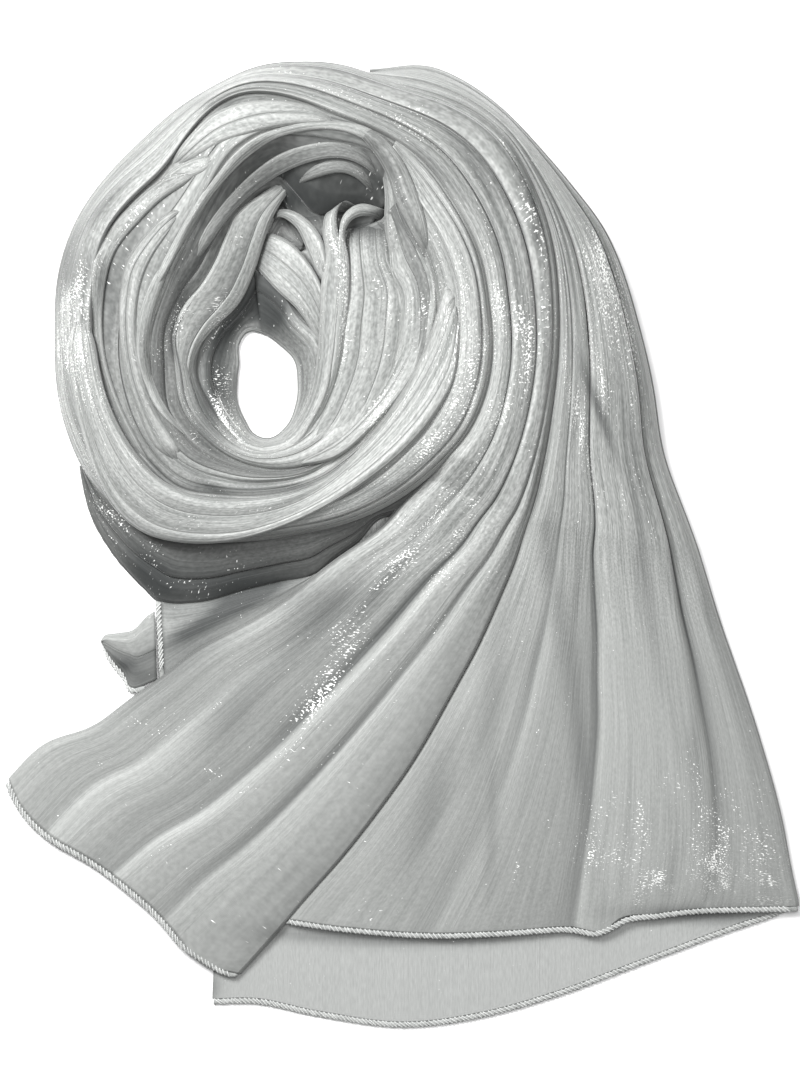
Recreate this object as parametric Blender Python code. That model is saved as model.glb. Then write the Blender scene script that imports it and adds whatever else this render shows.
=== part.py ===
"""Chiffon scarf laid down in a loose wound ring, its ends fanned out below.

All sizes in the tables are millimetres. +X is to the right of the ring, +Y away from the tails, +Z up from
the surface it lies on. Bearings are degrees, 0 along +X, and fall as the cloth winds on.
"""
import math

import bmesh
import bpy
import numpy as np

MM = 0.001
WALL = 2.0  # cloth wall
SEAM = 0.45  # each stretch stops this far short of the line it shares with the next
FLOOR = 0.0
CENTRE_X, CENTRE_Y = 0.92, -0.315  # brings the middle of the outline to the origin
RING_X, RING_Y = -106.0 + CENTRE_X, 128.0 + CENTRE_Y  # middle of the wound ring
RING_STEP = 12  # degrees between sections round the ring
SHARP_TURNS = (52, -30, -258, -268, -271, -280, -283, -297, -308)  # more sections, where a line turns
LOWEST_TOP = 2.2  # cloth lying on the surface
CLEAR = 0.35  # hidden layers stay this far under the cloth
HEM_WIDTH, HEM_GAP, HEM_RISE = 4.6, 0.35, 0.7

# Fold lines round the ring. Columns: bearing, radius from the ring's middle, height.
HOLE = (
    (96, 43, 4), (75, 35, 4), (45, 30, 4), (15, 25, 4), (-10, 24.7, 4), (-40, 28.5, 4), (-65, 36, 4),
    (-90, 43, 4), (-107, 41, 4), (-125, 34, 4), (-150, 29, 4), (-180, 26, 4), (-205, 28, 4),
    (-220, 32, 4), (-235, 42, 4), (-250, 47, 4), (-264, 43, 4),
)
RIM_CREASE = (
    (96, 95, 12), (86, 82, 15), (69, 62, 18), (42, 56, 20), (15, 50, 20), (-10, 46, 20), (-40, 45, 20),
    (-70, 49, 20), (-90, 52, 20), (-115, 51, 18), (-140, 48, 16), (-165, 50, 15), (-188, 57, 15),
    (-208, 61, 15), (-228, 62, 15), (-246, 65, 14), (-256, 76, 13), (-264, 95, 14), (-268, 113, 16),
    (-272, 134, 17), (-275, 149, 17),
)
LEAF_LINE = (
    (62, 147, 28), (55, 157, 30), (42, 134, 34), (34, 130, 35), (24, 118, 33), (13, 106, 30),
    (3, 96, 28), (-15, 87, 27), (-30, 82, 27), (-45, 75, 27), (-68, 70, 27), (-90, 66, 27),
    (-115, 64, 27), (-140, 65, 28), (-165, 70, 29), (-190, 73, 31), (-210, 86, 33), (-226, 91, 35),
    (-240, 96, 36), (-250, 110, 36), (-260, 130, 30), (-268, 150, 22), (-273, 153, 17),
    (-278, 137, 12), (-284, 120, 9), (-290, 121, 8), (-296, 133, 9), (-302, 150, 12),
)
RIDGE = (
    (-24, 86, 28), (-45, 79.5, 28), (-68, 77, 28), (-90, 76, 29), (-115, 81, 30), (-140, 92, 33),
    (-165, 96, 36), (-188, 99, 39), (-205, 104, 43), (-222, 112, 48), (-233, 123, 52), (-242, 135, 55),
    (-252, 156, 58), (-262, 186, 60), (-273, 203, 60), (-281, 209, 60), (-286, 212, 59),
    (-292, 214, 57), (-296, 211, 54), (-300, 201, 50), (-303, 187, 46), (-308, 172, 44),
)
BAND_INNER = (
    (57, 187, 46), (52, 172, 44), (43, 165, 42), (35, 158, 40), (27, 151, 38), (18, 141, 37),
    (7, 128.5, 36), (-6, 114, 35), (-24, 98, 34), (-43, 90, 34), (-57, 89, 34), (-73, 88, 34),
    (-94, 91, 33), (-113, 98, 32), (-130, 111, 32), (-146, 115, 32), (-158, 119, 32), (-175, 127, 33),
    (-190, 139, 34), (-206, 153, 36), (-215.5, 165, 38), (-222, 173, 40), (-235, 181, 43),
    (-244, 187, 44), (-250, 199, 45), (-256, 215, 46), (-264, 229, 46), (-274, 227, 47),
    (-281, 221.5, 49), (-286, 218, 53),
)
BAND_OUTER = (
    (74, 218, 53), (67, 218, 53), (61, 217, 52), (53, 214, 50), (45.5, 207, 48), (36.7, 201, 46),
    (30, 196, 44), (21, 187.5, 42), (4, 177.5, 40), (-12.6, 165, 38), (-25, 151, 34), (-40, 138, 30),
    (-59, 126, 28), (-78, 120, 26), (-97, 124, 24), (-114, 136, 20), (-126, 148, 14), (-137, 153, 8),
    (-148, 159, 5), (-170, 165, 4), (-194, 175, 4), (-209, 190.5, 4), (-222, 203, 4), (-230, 209, 4),
    (-242, 219, 4), (-252, 232.5, 4), (-261, 244.5, 4), (-268, 255, 4), (-276, 259.5, 4), (-283, 262, 6),
    (-290, 260, 14), (-296, 262, 22), (-301, 267, 27), (-308, 272, 30), (-315, 272, 32),
    (-320, 267, 32), (-327, 260, 32), (-335, 251, 31), (-343, 241.5, 30), (-355, 231.5, 29),
    (-365, 227, 29), (-377, 228, 28), (-386, 233, 27),
)
OUTLINE = (
    (71, 266, 4), (65, 283, 4), (58, 288.5, 4), (50, 289, 4), (41, 287.5, 4), (31, 291, 4),
    (26, 295, 4), (18, 297, 4), (10, 299, 4), (0, 307, 4), (-10, 320, 4), (-14.5, 336, 4), (-21, 367, 4),
)
LOWER_OUTER = (
    (-50, 138, 13), (-60, 143, 13), (-69, 147.5, 12), (-76, 155, 12), (-87, 157, 11), (-98, 166, 10),
    (-108, 182, 7), (-117.4, 193, 4), (-121, 190, 4), (-132, 183, 4), (-144, 175, 4), (-157, 163.5, 4),
    (-162, 162.5, 4),
)
HOLLOW_INNER = ((-265.5, 97.5, 12), (-270, 99, 12), (-275, 102, 12), (-280, 107, 12), (-284, 112, 12))
HOLLOW_OUTER = (
    (-265.5, 99.5, 12), (-268, 111, 12), (-272, 132, 13), (-275, 144, 13), (-278, 135, 12),
    (-281, 126, 12), (-284, 118, 12),
)

# Edges of the tails, from the ring to the hem. Columns: x, y, height.
FRONT_EDGE = (
    (31, 64, 24), (3, 36, 20), (-17, 13, 17), (-53, -12, 15), (-94, -44, 13), (-124, -63, 11),
    (-161, -82, 9), (-189, -104, 7), (-217, -124, 5), (-247, -146, 4), (-285, -159, 3), (-316, -190, 3),
)
MIDDLE_EDGE = (
    (103, 26, 27), (97, 8, 24), (90, -14, 22), (79, -40, 20), (62, -78, 18), (42, -115, 16),
    (14, -165, 13), (-14, -206, 10.5), (-45, -246, 8.5), (-75, -280, 7), (-103, -313, 6), (-131, -344, 5),
)
RIGHT_EDGE = (
    (237, -4, 4), (243, -24, 4), (249, -44, 4), (256, -66, 4), (268, -100, 4), (279, -132, 4),
    (293, -178, 4), (303, -216, 4), (309, -248, 4), (313, -268, 4.6), (316, -281, 4.6), (317, -288, 4.6),
)
UNDER_INNER = (
    (-148, -296, 2.2), (-113, -268, 2.2), (-65, -255, 2.2), (0, -246, 2.2), (63, -246, 2.2),
    (127, -246, 2.2), (191, -246, 2.2), (255, -250, 2.2), (296, -262, 2.2), (310, -275, 2.2),
)
UNDER_OUTER = (
    (-151, -362, 2.2), (-113, -362, 2.2), (-65, -372, 2.2), (0, -380.5, 2.2), (63, -373, 2.2),
    (127, -355, 2.2), (191, -331, 2.2), (255, -307, 2.2), (296, -293, 2.2), (310, -287, 2.2),
)
FLAP_TOP = ((-238, -75, 4), (-226, -69.5, 5), (-214, -67, 5), (-204, -57, 5), (-196.9, -52, 5))
FLAP_FOOT = ((-237, -79, 3), (-229, -91, 3), (-221, -99, 3), (-215, -114, 3), (-194.9, -107, 4))

# A hem's bulge out of the straight line between its corners. Columns: across, out.
NO_BULGE = ((0.0, 0.0), (1.0, 0.0))
FRONT_BULGE = ((0, 0), (0.08, 9), (0.2, 13), (0.4, 6), (0.6, 4), (0.75, 8), (0.88, 15), (0.96, 6), (1, 0))
RIGHT_BULGE = ((0, 0), (0.1, 8), (0.3, 16), (0.45, 14), (0.6, 10), (0.7, 5), (0.8, 0), (1, 0))

# Folds between a stretch's two edges (across 0 = inner or left, 1 = outer or right).
# Columns: kind, across at the start, middle and end, level at the start, middle and end.
FOLDS = {
    "collar_rim": (("ridge", 0.78, 0.78, 0.7, 1, 1, 0.6),),
    "collar_leaf": (
        ("ridge", 0.22, 0.26, 0.5, 1, 1, 1), ("crease", 0.42, 0.5, 0.66, 0.4, 0.5, 0.7),
        ("ridge", 0.7, 0.75, 0.8, 1.2, 1, 0.9),
    ),
    "hollow_fold": (("ridge", 0.5, 0.5, 0.5, 1, 1, 1),),
    "arch": (
        ("crease", 0.25, 0.34, 0.3, 0.1, 0.3, -0.5), ("ridge", 0.5, 0.56, 0.55, 0.8, 0.8, -0.1),
        ("crease", 0.75, 0.74, 0.8, 0.5, 0.3, -0.5),
    ),
    "inner_valley": (
        ("ridge", 0.35, 0.3, 0.35, 1, 1, 0.9), ("crease", 0.6, 0.55, 0.55, 0.5, 0.2, 0.4),
        ("ridge", 0.8, 0.8, 0.8, 0.9, 0.7, 0.9),
    ),
    "main_band": (
        ("ridge", 0.3, 0.35, 0.3, 1, 1, 0.8), ("crease", 0.5, 0.55, 0.55, 0.85, 0.9, 0.7),
        ("ridge", 0.78, 0.75, 0.75, 1, 1, 0.9),
    ),
    "outer_turn": (
        ("ridge", 0.3, 0.3, 0.28, 1, 1, 1), ("crease", 0.55, 0.62, 0.64, 0.8, 0.7, 0.45),
        ("ridge", 0.75, 0.8, 0.84, 0.9, 1, 1),
    ),
    "side_folds": (
        ("ridge", 0.2, 0.25, 0.22, 1, 1, 1), ("crease", 0.4, 0.45, 0.36, 0.7, 0.6, 0.5),
        ("ridge", 0.65, 0.65, 0.6, 1, 1, 1), ("crease", 0.85, 0.82, 0.8, 0.8, 0.8, 0.8),
    ),
    "lower_folds": (("ridge", 0.3, 0.3, 0.3, 1, 1, 1), ("crease", 0.6, 0.6, 0.6, 0.5, 0.4, 0.3),
                    ("ridge", 0.8, 0.8, 0.8, 0.9, 0.8, 0.7)),
    "front_tail": (
        ("ridge", 0.28, 0.14, 0.12, 1, 0.7, 0.5), ("crease", 0.64, 0.36, 0.34, 0.3, 0.0, 0.1),
        ("ridge", 0.76, 0.62, 0.58, 0.9, 1, 0.8), ("crease", 0.84, 0.74, 0.7, 0.6, 0.6, 0.5),
        ("ridge", 0.92, 0.86, 0.84, 0.8, 1, 0.9),
    ),
    "right_tail": (
        ("ridge", 0.08, 0.1, 0.16, 0.8, 0.8, 0.5), ("crease", 0.18, 0.24, 0.35, 0.4, 0.4, 0.2),
        ("ridge", 0.28, 0.33, 0.47, 1, 0.9, 0.6), ("crease", 0.38, 0.42, 0.58, 0.5, 0.4, 0.2),
        ("ridge", 0.6, 0.62, 0.7, 1, 1, 1), ("crease", 0.8, 0.8, 0.8, 0.6, 0.6, 0.6),
        ("ridge", 0.92, 0.92, 0.92, 0.8, 0.8, 0.7),
    ),
    "under_tail": (("ridge", 0.5, 0.5, 0.5, 0, 0, 0),),
    "front_flap": (("ridge", 0.5, 0.5, 0.5, 1, 1, 1),),
    "back_flap": (("ridge", 0.4, 0.4, 0.4, 1, 1, 1),),
}

# How high a ridge of level 1 stands over the line between the edges. Columns: along (0 to 1), crown.
CROWNS = {
    "collar_rim": ((0, 4), (0.3, 8), (0.6, 8), (1, 3)),
    "collar_leaf": ((0, 6), (0.15, 12), (0.5, 8), (0.8, 10), (1, 2)),
    "hollow_fold": ((0, 1), (1, 1)),
    "arch": ((0, 1), (0.2, 4), (0.45, 9), (0.6, 6), (0.8, 12), (1, 10)),
    "inner_valley": ((0, 2), (0.15, 4), (0.4, 5), (0.6, 9), (0.85, 9), (1, 0.5)),
    "main_band": ((0, 2), (0.12, 12), (0.4, 16), (0.8, 20), (1, 22)),
    "outer_turn": ((0, 24), (0.2, 28), (0.5, 26), (0.62, 20), (0.8, 14), (1, 14)),
    "side_folds": ((0, 3), (0.15, 16), (0.5, 26), (1, 20)),
    "lower_folds": ((0, 2), (0.3, 6), (0.8, 6), (1, 3)),
    "front_tail": ((0, 14), (0.3, 16), (0.6, 13), (0.85, 9), (1, 4.5)),
    "right_tail": ((0, 20), (0.3, 18), (0.6, 13), (0.85, 8), (1, 4)),
    "under_tail": ((0, 0), (1, 0)),
    "front_flap": ((0, 2), (1, 3)),
    "back_flap": ((0, 1.5), (1, 1.5)),
}

EDGE_LIFT = {"hollow_fold": -4.0, "lower_folds": -5.0, "front_flap": -3.0}
RISING_STEPS = (0.3, 1.0)  # where a flank from a crease up to a ridge is cut
FALLING_STEPS = (0.7, 1.0)  # and one from a ridge down to a crease
FIRST_STEPS = (0.14, 0.45, 1.0)  # the flanks at a stretch's two edges are rounder
LAST_STEPS = (0.55, 0.86, 1.0)
CLOTH_COLOUR = (0.52, 0.53, 0.51, 1.0)
HEM_COLOUR = (0.62, 0.63, 0.61, 1.0)


def clear_scene():
    for thing in list(bpy.data.objects):
        bpy.data.objects.remove(thing, do_unlink=True)


def smooth_columns(table, where):
    """Each column of a table, read at any place along it by a curve through its rows."""
    rows = np.array(table, float)
    places = rows[:, 0] * (1 if rows[-1, 0] > rows[0, 0] else -1)
    where = np.atleast_1d(where) * (1 if rows[-1, 0] > rows[0, 0] else -1)
    values = rows[:, 1:]
    steps = np.diff(places)[:, None]
    slopes = np.diff(values, axis=0) / steps
    tangents = np.vstack([slopes[:1], (slopes[:-1] + slopes[1:]) / 2, slopes[-1:]])
    at = np.clip(np.searchsorted(places, where) - 1, 0, len(places) - 2)
    width = steps[at]
    s = np.clip((where - places[at])[:, None] / width, 0, 1)
    return (
        (2 * s**3 - 3 * s**2 + 1) * values[at]
        + (s**3 - 2 * s**2 + s) * width * tangents[at]
        + (3 * s**2 - 2 * s**3) * values[at + 1]
        + (s**3 - s**2) * width * tangents[at + 1]
    )


def ring_points(line, bearings):
    """Points of a ring line at these bearings."""
    radius, height = smooth_columns(line, bearings).T
    turn = np.radians(bearings)
    return np.column_stack([RING_X + radius * np.cos(turn), RING_Y + radius * np.sin(turn), height])


def tail_points(line, places):
    """Points of a tail's edge; a place counts the table's rows from 0."""
    numbered = [(i, *row) for i, row in enumerate(line)]
    return smooth_columns(numbered, places) + (CENTRE_X, CENTRE_Y, 0)


def joined_ring_points(bearings, *parts):
    """A line made of several tables: each part is (from this bearing down, table, turns added)."""
    points = np.zeros((len(bearings), 3))
    for begin, line, turns in parts:
        chosen = bearings <= begin
        points[chosen] = ring_points(line, bearings[chosen] + 360 * turns)
    return points


def bearings_between(first, last):
    """Sections at whole steps, so that stretches that share a line are cut at the same places."""
    places = [*range(96, -400, -RING_STEP), *SHARP_TURNS]
    inside = sorted((b for b in places if last + 1 < b < first - 1), reverse=True)
    return np.array([first, *inside, last], float)


def fold_rails(name, along):
    """(across, level, is a ridge) of each fold line at each section, edges included."""
    start, middle, end = (1 - along) * (1 - 2 * along), 4 * along * (1 - along), along * (2 * along - 1)
    rails = [(0 * along, 0 * along, False)]
    for kind, a0, a1, a2, l0, l1, l2 in FOLDS[name]:
        across = a0 * start + a1 * middle + a2 * end
        level = l0 * start + l1 * middle + l2 * end
        rails.append((across, level, kind == "ridge"))
    rails.append((0 * along + 1, 0 * along, False))
    return rails


def eased(s, from_ridge, to_ridge):
    """A flank: round where it meets a ridge, straight down into a crease."""
    if from_ridge == to_ridge:
        return s * s * (3 - 2 * s)
    if to_ridge:
        return math.sin(math.pi / 2 * s) ** 0.8
    return 1 - math.sin(math.pi / 2 * (1 - s)) ** 0.8


def cloth_grid(name, inner, outer, bulge=NO_BULGE):
    """The upper face of a stretch: sections along it, points across it."""
    count = len(inner)
    along = np.linspace(0, 1, count)
    span = outer - inner
    length = np.linalg.norm(span[:, :2], axis=1)[:, None]
    shift = span / length * np.minimum(SEAM, length * 0.3)
    inner, outer = inner + shift, outer - shift
    lift = EDGE_LIFT.get(name, 0.0)
    crown = smooth_columns(CROWNS[name], along)[:, 0]
    rails = fold_rails(name, along)
    columns = [(rails[0][0], rails[0][1])]
    cuts = [FIRST_STEPS] + [FALLING_STEPS if rail[2] else RISING_STEPS for rail in rails[1:-2]] + [LAST_STEPS]
    for (a0, l0, ridge0), (a1, l1, ridge1), steps in zip(rails, rails[1:], cuts):
        for s in steps:
            columns.append((a0 + (a1 - a0) * s, l0 + (l1 - l0) * eased(s, ridge0, ridge1)))
    grid = np.zeros((count, len(columns), 3))
    for j, (across, level) in enumerate(columns):
        grid[:, j] = inner + (outer - inner) * across[:, None]
        grid[:, j, 2] += crown * level + lift
    if bulge is not NO_BULGE:
        travel = grid[-1, :, :2] - grid[-3, :, :2]
        travel /= np.linalg.norm(travel, axis=1)[:, None]
        out = smooth_columns(bulge, columns_across(columns))[:, 0]
        for back, share in ((1, 1.0), (2, 0.55), (3, 0.2)):
            grid[-back, :, :2] += travel * (out * share)[:, None]
    grid[:, :, 2] = np.maximum(grid[:, :, 2], LOWEST_TOP)
    return grid


def columns_across(columns):
    return np.array([across[-1] for across, _ in columns])


def grid_normals(grid):
    """Upward unit normals of a grid of points."""
    normals = np.cross(np.gradient(grid, axis=0), np.gradient(grid, axis=1))
    normals /= np.maximum(np.linalg.norm(normals, axis=2, keepdims=True), 1e-9)
    return normals * np.where(normals[:, :, 2:] < 0, -1, 1)


def lower_face(grid):
    """The cloth's lower face, one wall under the upper one and never under the surface it lies on."""
    below = grid - WALL * grid_normals(grid)
    for edge, inside in ((0, 1), (-1, -2)):
        for turned, wall in ((grid, below), (grid.swapaxes(0, 1), below.swapaxes(0, 1))):
            inward = turned[edge, :, :2] - turned[inside, :, :2]
            shift = wall[edge, :, :2] - turned[edge, :, :2]
            leaves = (shift * inward).sum(axis=1) > 0
            wall[edge, leaves, :2] = turned[edge, leaves, :2]
            wall[edge, leaves, 2] = turned[edge, leaves, 2] - WALL
    below[:, :, 2] = np.minimum(below[:, :, 2], grid[:, :, 2] - WALL * 0.5)
    below[:, :, 2] = np.maximum(below[:, :, 2], FLOOR)
    return below


def material(name, colour, roughness):
    made = bpy.data.materials.new(name)
    made.use_nodes = True
    shader = made.node_tree.nodes["Principled BSDF"]
    shader.inputs["Base Color"].default_value = colour
    shader.inputs["Roughness"].default_value = roughness
    made.diffuse_color = colour
    return made


def solid_from(name, upper, lower, colour):
    """A closed solid between two grids that match point for point."""
    rows, cols = upper.shape[:2]
    mesh = bmesh.new()
    top = [[mesh.verts.new(p * MM) for p in line] for line in upper]
    foot = [[mesh.verts.new(p * MM) for p in line] for line in lower]
    for i in range(rows - 1):
        for j in range(cols - 1):
            mesh.faces.new((top[i][j], top[i + 1][j], top[i + 1][j + 1], top[i][j + 1]))
            mesh.faces.new((foot[i][j], foot[i][j + 1], foot[i + 1][j + 1], foot[i + 1][j]))
    rim = [(i, 0) for i in range(rows)] + [(rows - 1, j) for j in range(1, cols)]
    rim += [(i, cols - 1) for i in range(rows - 2, -1, -1)] + [(0, j) for j in range(cols - 2, 0, -1)]
    for (i, j), (k, m) in zip(rim, rim[1:] + rim[:1]):
        mesh.faces.new((top[i][j], foot[i][j], foot[k][m], top[k][m]))
    bmesh.ops.recalc_face_normals(mesh, faces=mesh.faces)
    data = bpy.data.meshes.new(name)
    mesh.to_mesh(data)
    mesh.free()
    data.materials.append(material(name + "_cloth", colour, 0.5))
    made = bpy.data.objects.new(name, data)
    bpy.context.scene.collection.objects.link(made)
    return made


def stretch(name, inner, outer, bulge=NO_BULGE):
    upper = cloth_grid(name, inner, outer, bulge)
    lower = lower_face(upper)
    solid_from(name, upper, lower, CLOTH_COLOUR)
    return upper, lower


def rolled_hem(name, edge, before):
    """A rolled hem just off an edge; before is the line of points next to the edge."""
    away = edge[:, :2] - before[:, :2]
    away /= np.linalg.norm(away, axis=1)[:, None]
    base = np.maximum(edge[:, 2], LOWEST_TOP)
    upper, lower = [], []
    for share, rise, drop in ((0, 0.0, 1.6), (0.3, 1.0, 1.9), (0.7, 1.0, 1.9), (1, 0.0, 1.6)):
        place = edge[:, :2] + away * (HEM_GAP + share * HEM_WIDTH)
        upper.append(np.column_stack([place, base + HEM_RISE * rise]))
        lower.append(np.column_stack([place, np.maximum(base - drop, FLOOR)]))
    solid_from(name, np.array(upper), np.array(lower), HEM_COLOUR)


def lowest_cloth(lowers, spacing):
    """A height map of the cloth's lower faces over the whole scarf."""
    reach, fine = 420, 6
    size = int(2 * reach / spacing)
    lowest = np.full((size, size), np.inf)
    for grid in lowers:
        for s in np.linspace(0, 1, fine):
            for t in np.linspace(0, 1, fine):
                p = (
                    grid[:-1, :-1] * (1 - s) * (1 - t) + grid[1:, :-1] * s * (1 - t)
                    + grid[:-1, 1:] * (1 - s) * t + grid[1:, 1:] * s * t
                ).reshape(-1, 3)
                i = ((p[:, 0] + reach) / spacing).astype(int)
                j = ((p[:, 1] + reach) / spacing).astype(int)
                np.minimum.at(lowest, (i, j), p[:, 2])
    return lowest, reach


# Hidden layers. Columns: bearing, inner radius, outer radius.
HIDDEN = (
    (180, 34, 156), (165, 36, 164), (150, 38, 180), (135, 42, 194), (120, 52, 207), (105, 52, 225),
    (90, 48, 243), (75, 44, 252), (60, 40, 272), (45, 38, 276), (30, 36, 280), (15, 33, 286),
    (0, 32, 294), (-15, 33, 320), (-30, 36, 420), (-40, 38, 470), (-50, 40, 440), (-60, 44, 400),
    (-75, 50, 360), (-90, 52, 345), (-99, 52, 280), (-105, 50, 185), (-112, 47, 170), (-120, 44, 168),
    (-135, 40, 160), (-150, 38, 148), (-165, 36, 150), (-180, 34, 156),
)
HIDDEN_SECTIONS, HIDDEN_RINGS = 54, 15
HIDDEN_LEAST = 1.2
MAP_SPACING = 3.0


def hidden_layers(lowers):
    """One rounded solid for the layers out of sight, flat underneath, its top just under the cloth."""
    lowest, reach = lowest_cloth(lowers, MAP_SPACING)
    bearings = np.linspace(180, -180, HIDDEN_SECTIONS + 1)[:-1]
    inner, outer = smooth_columns(HIDDEN, bearings).T
    turn = np.radians(bearings)[:, None]
    share = np.linspace(0, 1, HIDDEN_RINGS)[None, :] ** 1.15
    radius = inner[:, None] + (outer - inner)[:, None] * share
    x = RING_X + radius * np.cos(turn)
    y = RING_Y + radius * np.sin(turn)
    top = np.zeros_like(x)
    for i in range(HIDDEN_SECTIONS):
        for j in range(HIDDEN_RINGS):
            near = [(i + a) % HIDDEN_SECTIONS for a in (-1, 0, 1)]
            reachj = [k for k in (j - 1, j, j + 1) if 0 <= k < HIDDEN_RINGS]
            xs, ys = x[np.ix_(near, reachj)], y[np.ix_(near, reachj)]
            low_i = int((xs.min() + reach) / MAP_SPACING) - 1
            high_i = int((xs.max() + reach) / MAP_SPACING) + 2
            low_j = int((ys.min() + reach) / MAP_SPACING) - 1
            high_j = int((ys.max() + reach) / MAP_SPACING) + 2
            top[i, j] = lowest[low_i:high_i, low_j:high_j].min() - CLEAR
    top = np.maximum(top, HIDDEN_LEAST)
    upper = np.dstack([x, y, top])
    lower = np.dstack([x, y, 0 * top])
    closed_ring("hidden_layers", upper, lower)


def closed_ring(name, upper, lower):
    """A closed solid whose sections go all the way round."""
    rows, cols = upper.shape[:2]
    mesh = bmesh.new()
    top = [[mesh.verts.new(p * MM) for p in line] for line in upper]
    foot = [(mesh.verts.new(line[0] * MM), mesh.verts.new(line[-1] * MM)) for line in lower]
    for i in range(rows):
        k = (i + 1) % rows
        for j in range(cols - 1):
            mesh.faces.new((top[i][j], top[k][j], top[k][j + 1], top[i][j + 1]))
        mesh.faces.new((foot[i][0], foot[i][1], foot[k][1], foot[k][0]))
        mesh.faces.new((top[i][0], foot[i][0], foot[k][0], top[k][0]))
        mesh.faces.new((top[i][-1], top[k][-1], foot[k][1], foot[i][1]))
    bmesh.ops.recalc_face_normals(mesh, faces=mesh.faces)
    data = bpy.data.meshes.new(name)
    mesh.to_mesh(data)
    mesh.free()
    data.materials.append(material(name + "_cloth", CLOTH_COLOUR, 0.6))
    bpy.context.scene.collection.objects.link(bpy.data.objects.new(name, data))


def main():
    clear_scene()
    lowers = []

    def add(name, inner, outer, bulge=NO_BULGE):
        upper, lower = stretch(name, inner, outer, bulge)
        if name != "under_tail":
            lowers.append(lower)
        return upper

    round_hole = bearings_between(94, -262)
    add("collar_rim", ring_points(HOLE, round_hole), ring_points(RIM_CREASE, round_hole))

    leaf_in = bearings_between(95, -273)
    leaf_out = bearings_between(56, -271)
    more = len(leaf_in) - len(leaf_out)
    leaf_out = np.concatenate([np.linspace(56, 52, more + 1, endpoint=False), leaf_out[1:]])
    add("collar_leaf", ring_points(RIM_CREASE, leaf_in), ring_points(LEAF_LINE, leaf_out))

    hollow = np.array([row[0] for row in HOLLOW_OUTER], float)
    add("hollow_fold", ring_points(HOLLOW_INNER, hollow), ring_points(HOLLOW_OUTER, hollow))

    arch = bearings_between(-30, -301)
    add("arch", ring_points(LEAF_LINE, arch), ring_points(RIDGE, arch))

    valley = bearings_between(55.5, -283)
    add(
        "inner_valley",
        joined_ring_points(valley, (90, LEAF_LINE, 0), (-29, RIDGE, 0)),
        ring_points(BAND_INNER, valley),
    )

    band = bearings_between(63, -150)
    add(
        "main_band",
        joined_ring_points(band, (90, RIDGE, -1), (56.5, BAND_INNER, 0)),
        ring_points(BAND_OUTER, band),
    )

    turn = bearings_between(-150.4, -385)
    add(
        "outer_turn",
        joined_ring_points(turn, (-150, BAND_INNER, 0), (-287, BAND_OUTER, 1)),
        ring_points(BAND_OUTER, turn),
    )

    side_in = bearings_between(-291, -385.5)
    side_out = np.linspace(69, -21, len(side_in))
    add("side_folds", ring_points(BAND_OUTER, side_in), ring_points(OUTLINE, side_out))

    rows = len(FRONT_EDGE)
    places = np.linspace(0, rows - 1, 2 * rows - 1)
    front = add(
        "front_tail", tail_points(FRONT_EDGE, places), tail_points(MIDDLE_EDGE, places), FRONT_BULGE
    )
    right_in = np.linspace(0, 9.6, 2 * rows - 1)
    right = add(
        "right_tail", tail_points(MIDDLE_EDGE, right_in), tail_points(RIGHT_EDGE, places), RIGHT_BULGE
    )

    under_places = np.linspace(0, len(UNDER_INNER) - 1, 2 * len(UNDER_INNER) - 1)
    under = add(
        "under_tail", tail_points(UNDER_INNER, under_places), tail_points(UNDER_OUTER, under_places)
    )

    low = bearings_between(-53, -157)
    add("lower_folds", ring_points(BAND_OUTER, low), ring_points(LOWER_OUTER, low))

    flap_in = np.linspace(-116.5, -78, 6)
    flap_out = np.linspace(7.0, 3.3, 6)
    flap = add("front_flap", ring_points(LOWER_OUTER, flap_in), tail_points(FRONT_EDGE, flap_out))
    flap_places = np.linspace(0, len(FLAP_TOP) - 1, 2 * len(FLAP_TOP) - 1)
    back = add("back_flap", tail_points(FLAP_TOP, flap_places), tail_points(FLAP_FOOT, flap_places))

    hidden_layers(lowers)

    rolled_hem("front_tail_hem", front[-1], front[-2])
    rolled_hem("right_tail_hem", right[-1], right[-2])
    rolled_hem("under_tail_hem", under[:, -1], under[:, -2])
    rolled_hem("front_flap_hem", flap[0], flap[1])
    rolled_hem("back_flap_hem", back[:-2, -1], back[:-2, -2])


main()
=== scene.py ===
# %% [markdown]
# # A chiffon scarf, wound in a ring and laid down
#
# The scarf is one long piece of shimmer chiffon with a narrow overlocked hem. It lies on a pale floor,
# wound two and a quarter times round a small hole, with its ends fanned out below. Each stretch of
# cloth that shows is made here as its own sheet. The folds of a wound scarf are long ribbons, so each
# sheet is made from the lines that its folds follow, and all lines are in millimetres on the real
# scarf.

import math
import random

import bmesh
import bpy
import numpy as np
from mathutils import Matrix, Vector
from mathutils.bvhtree import BVHTree


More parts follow.
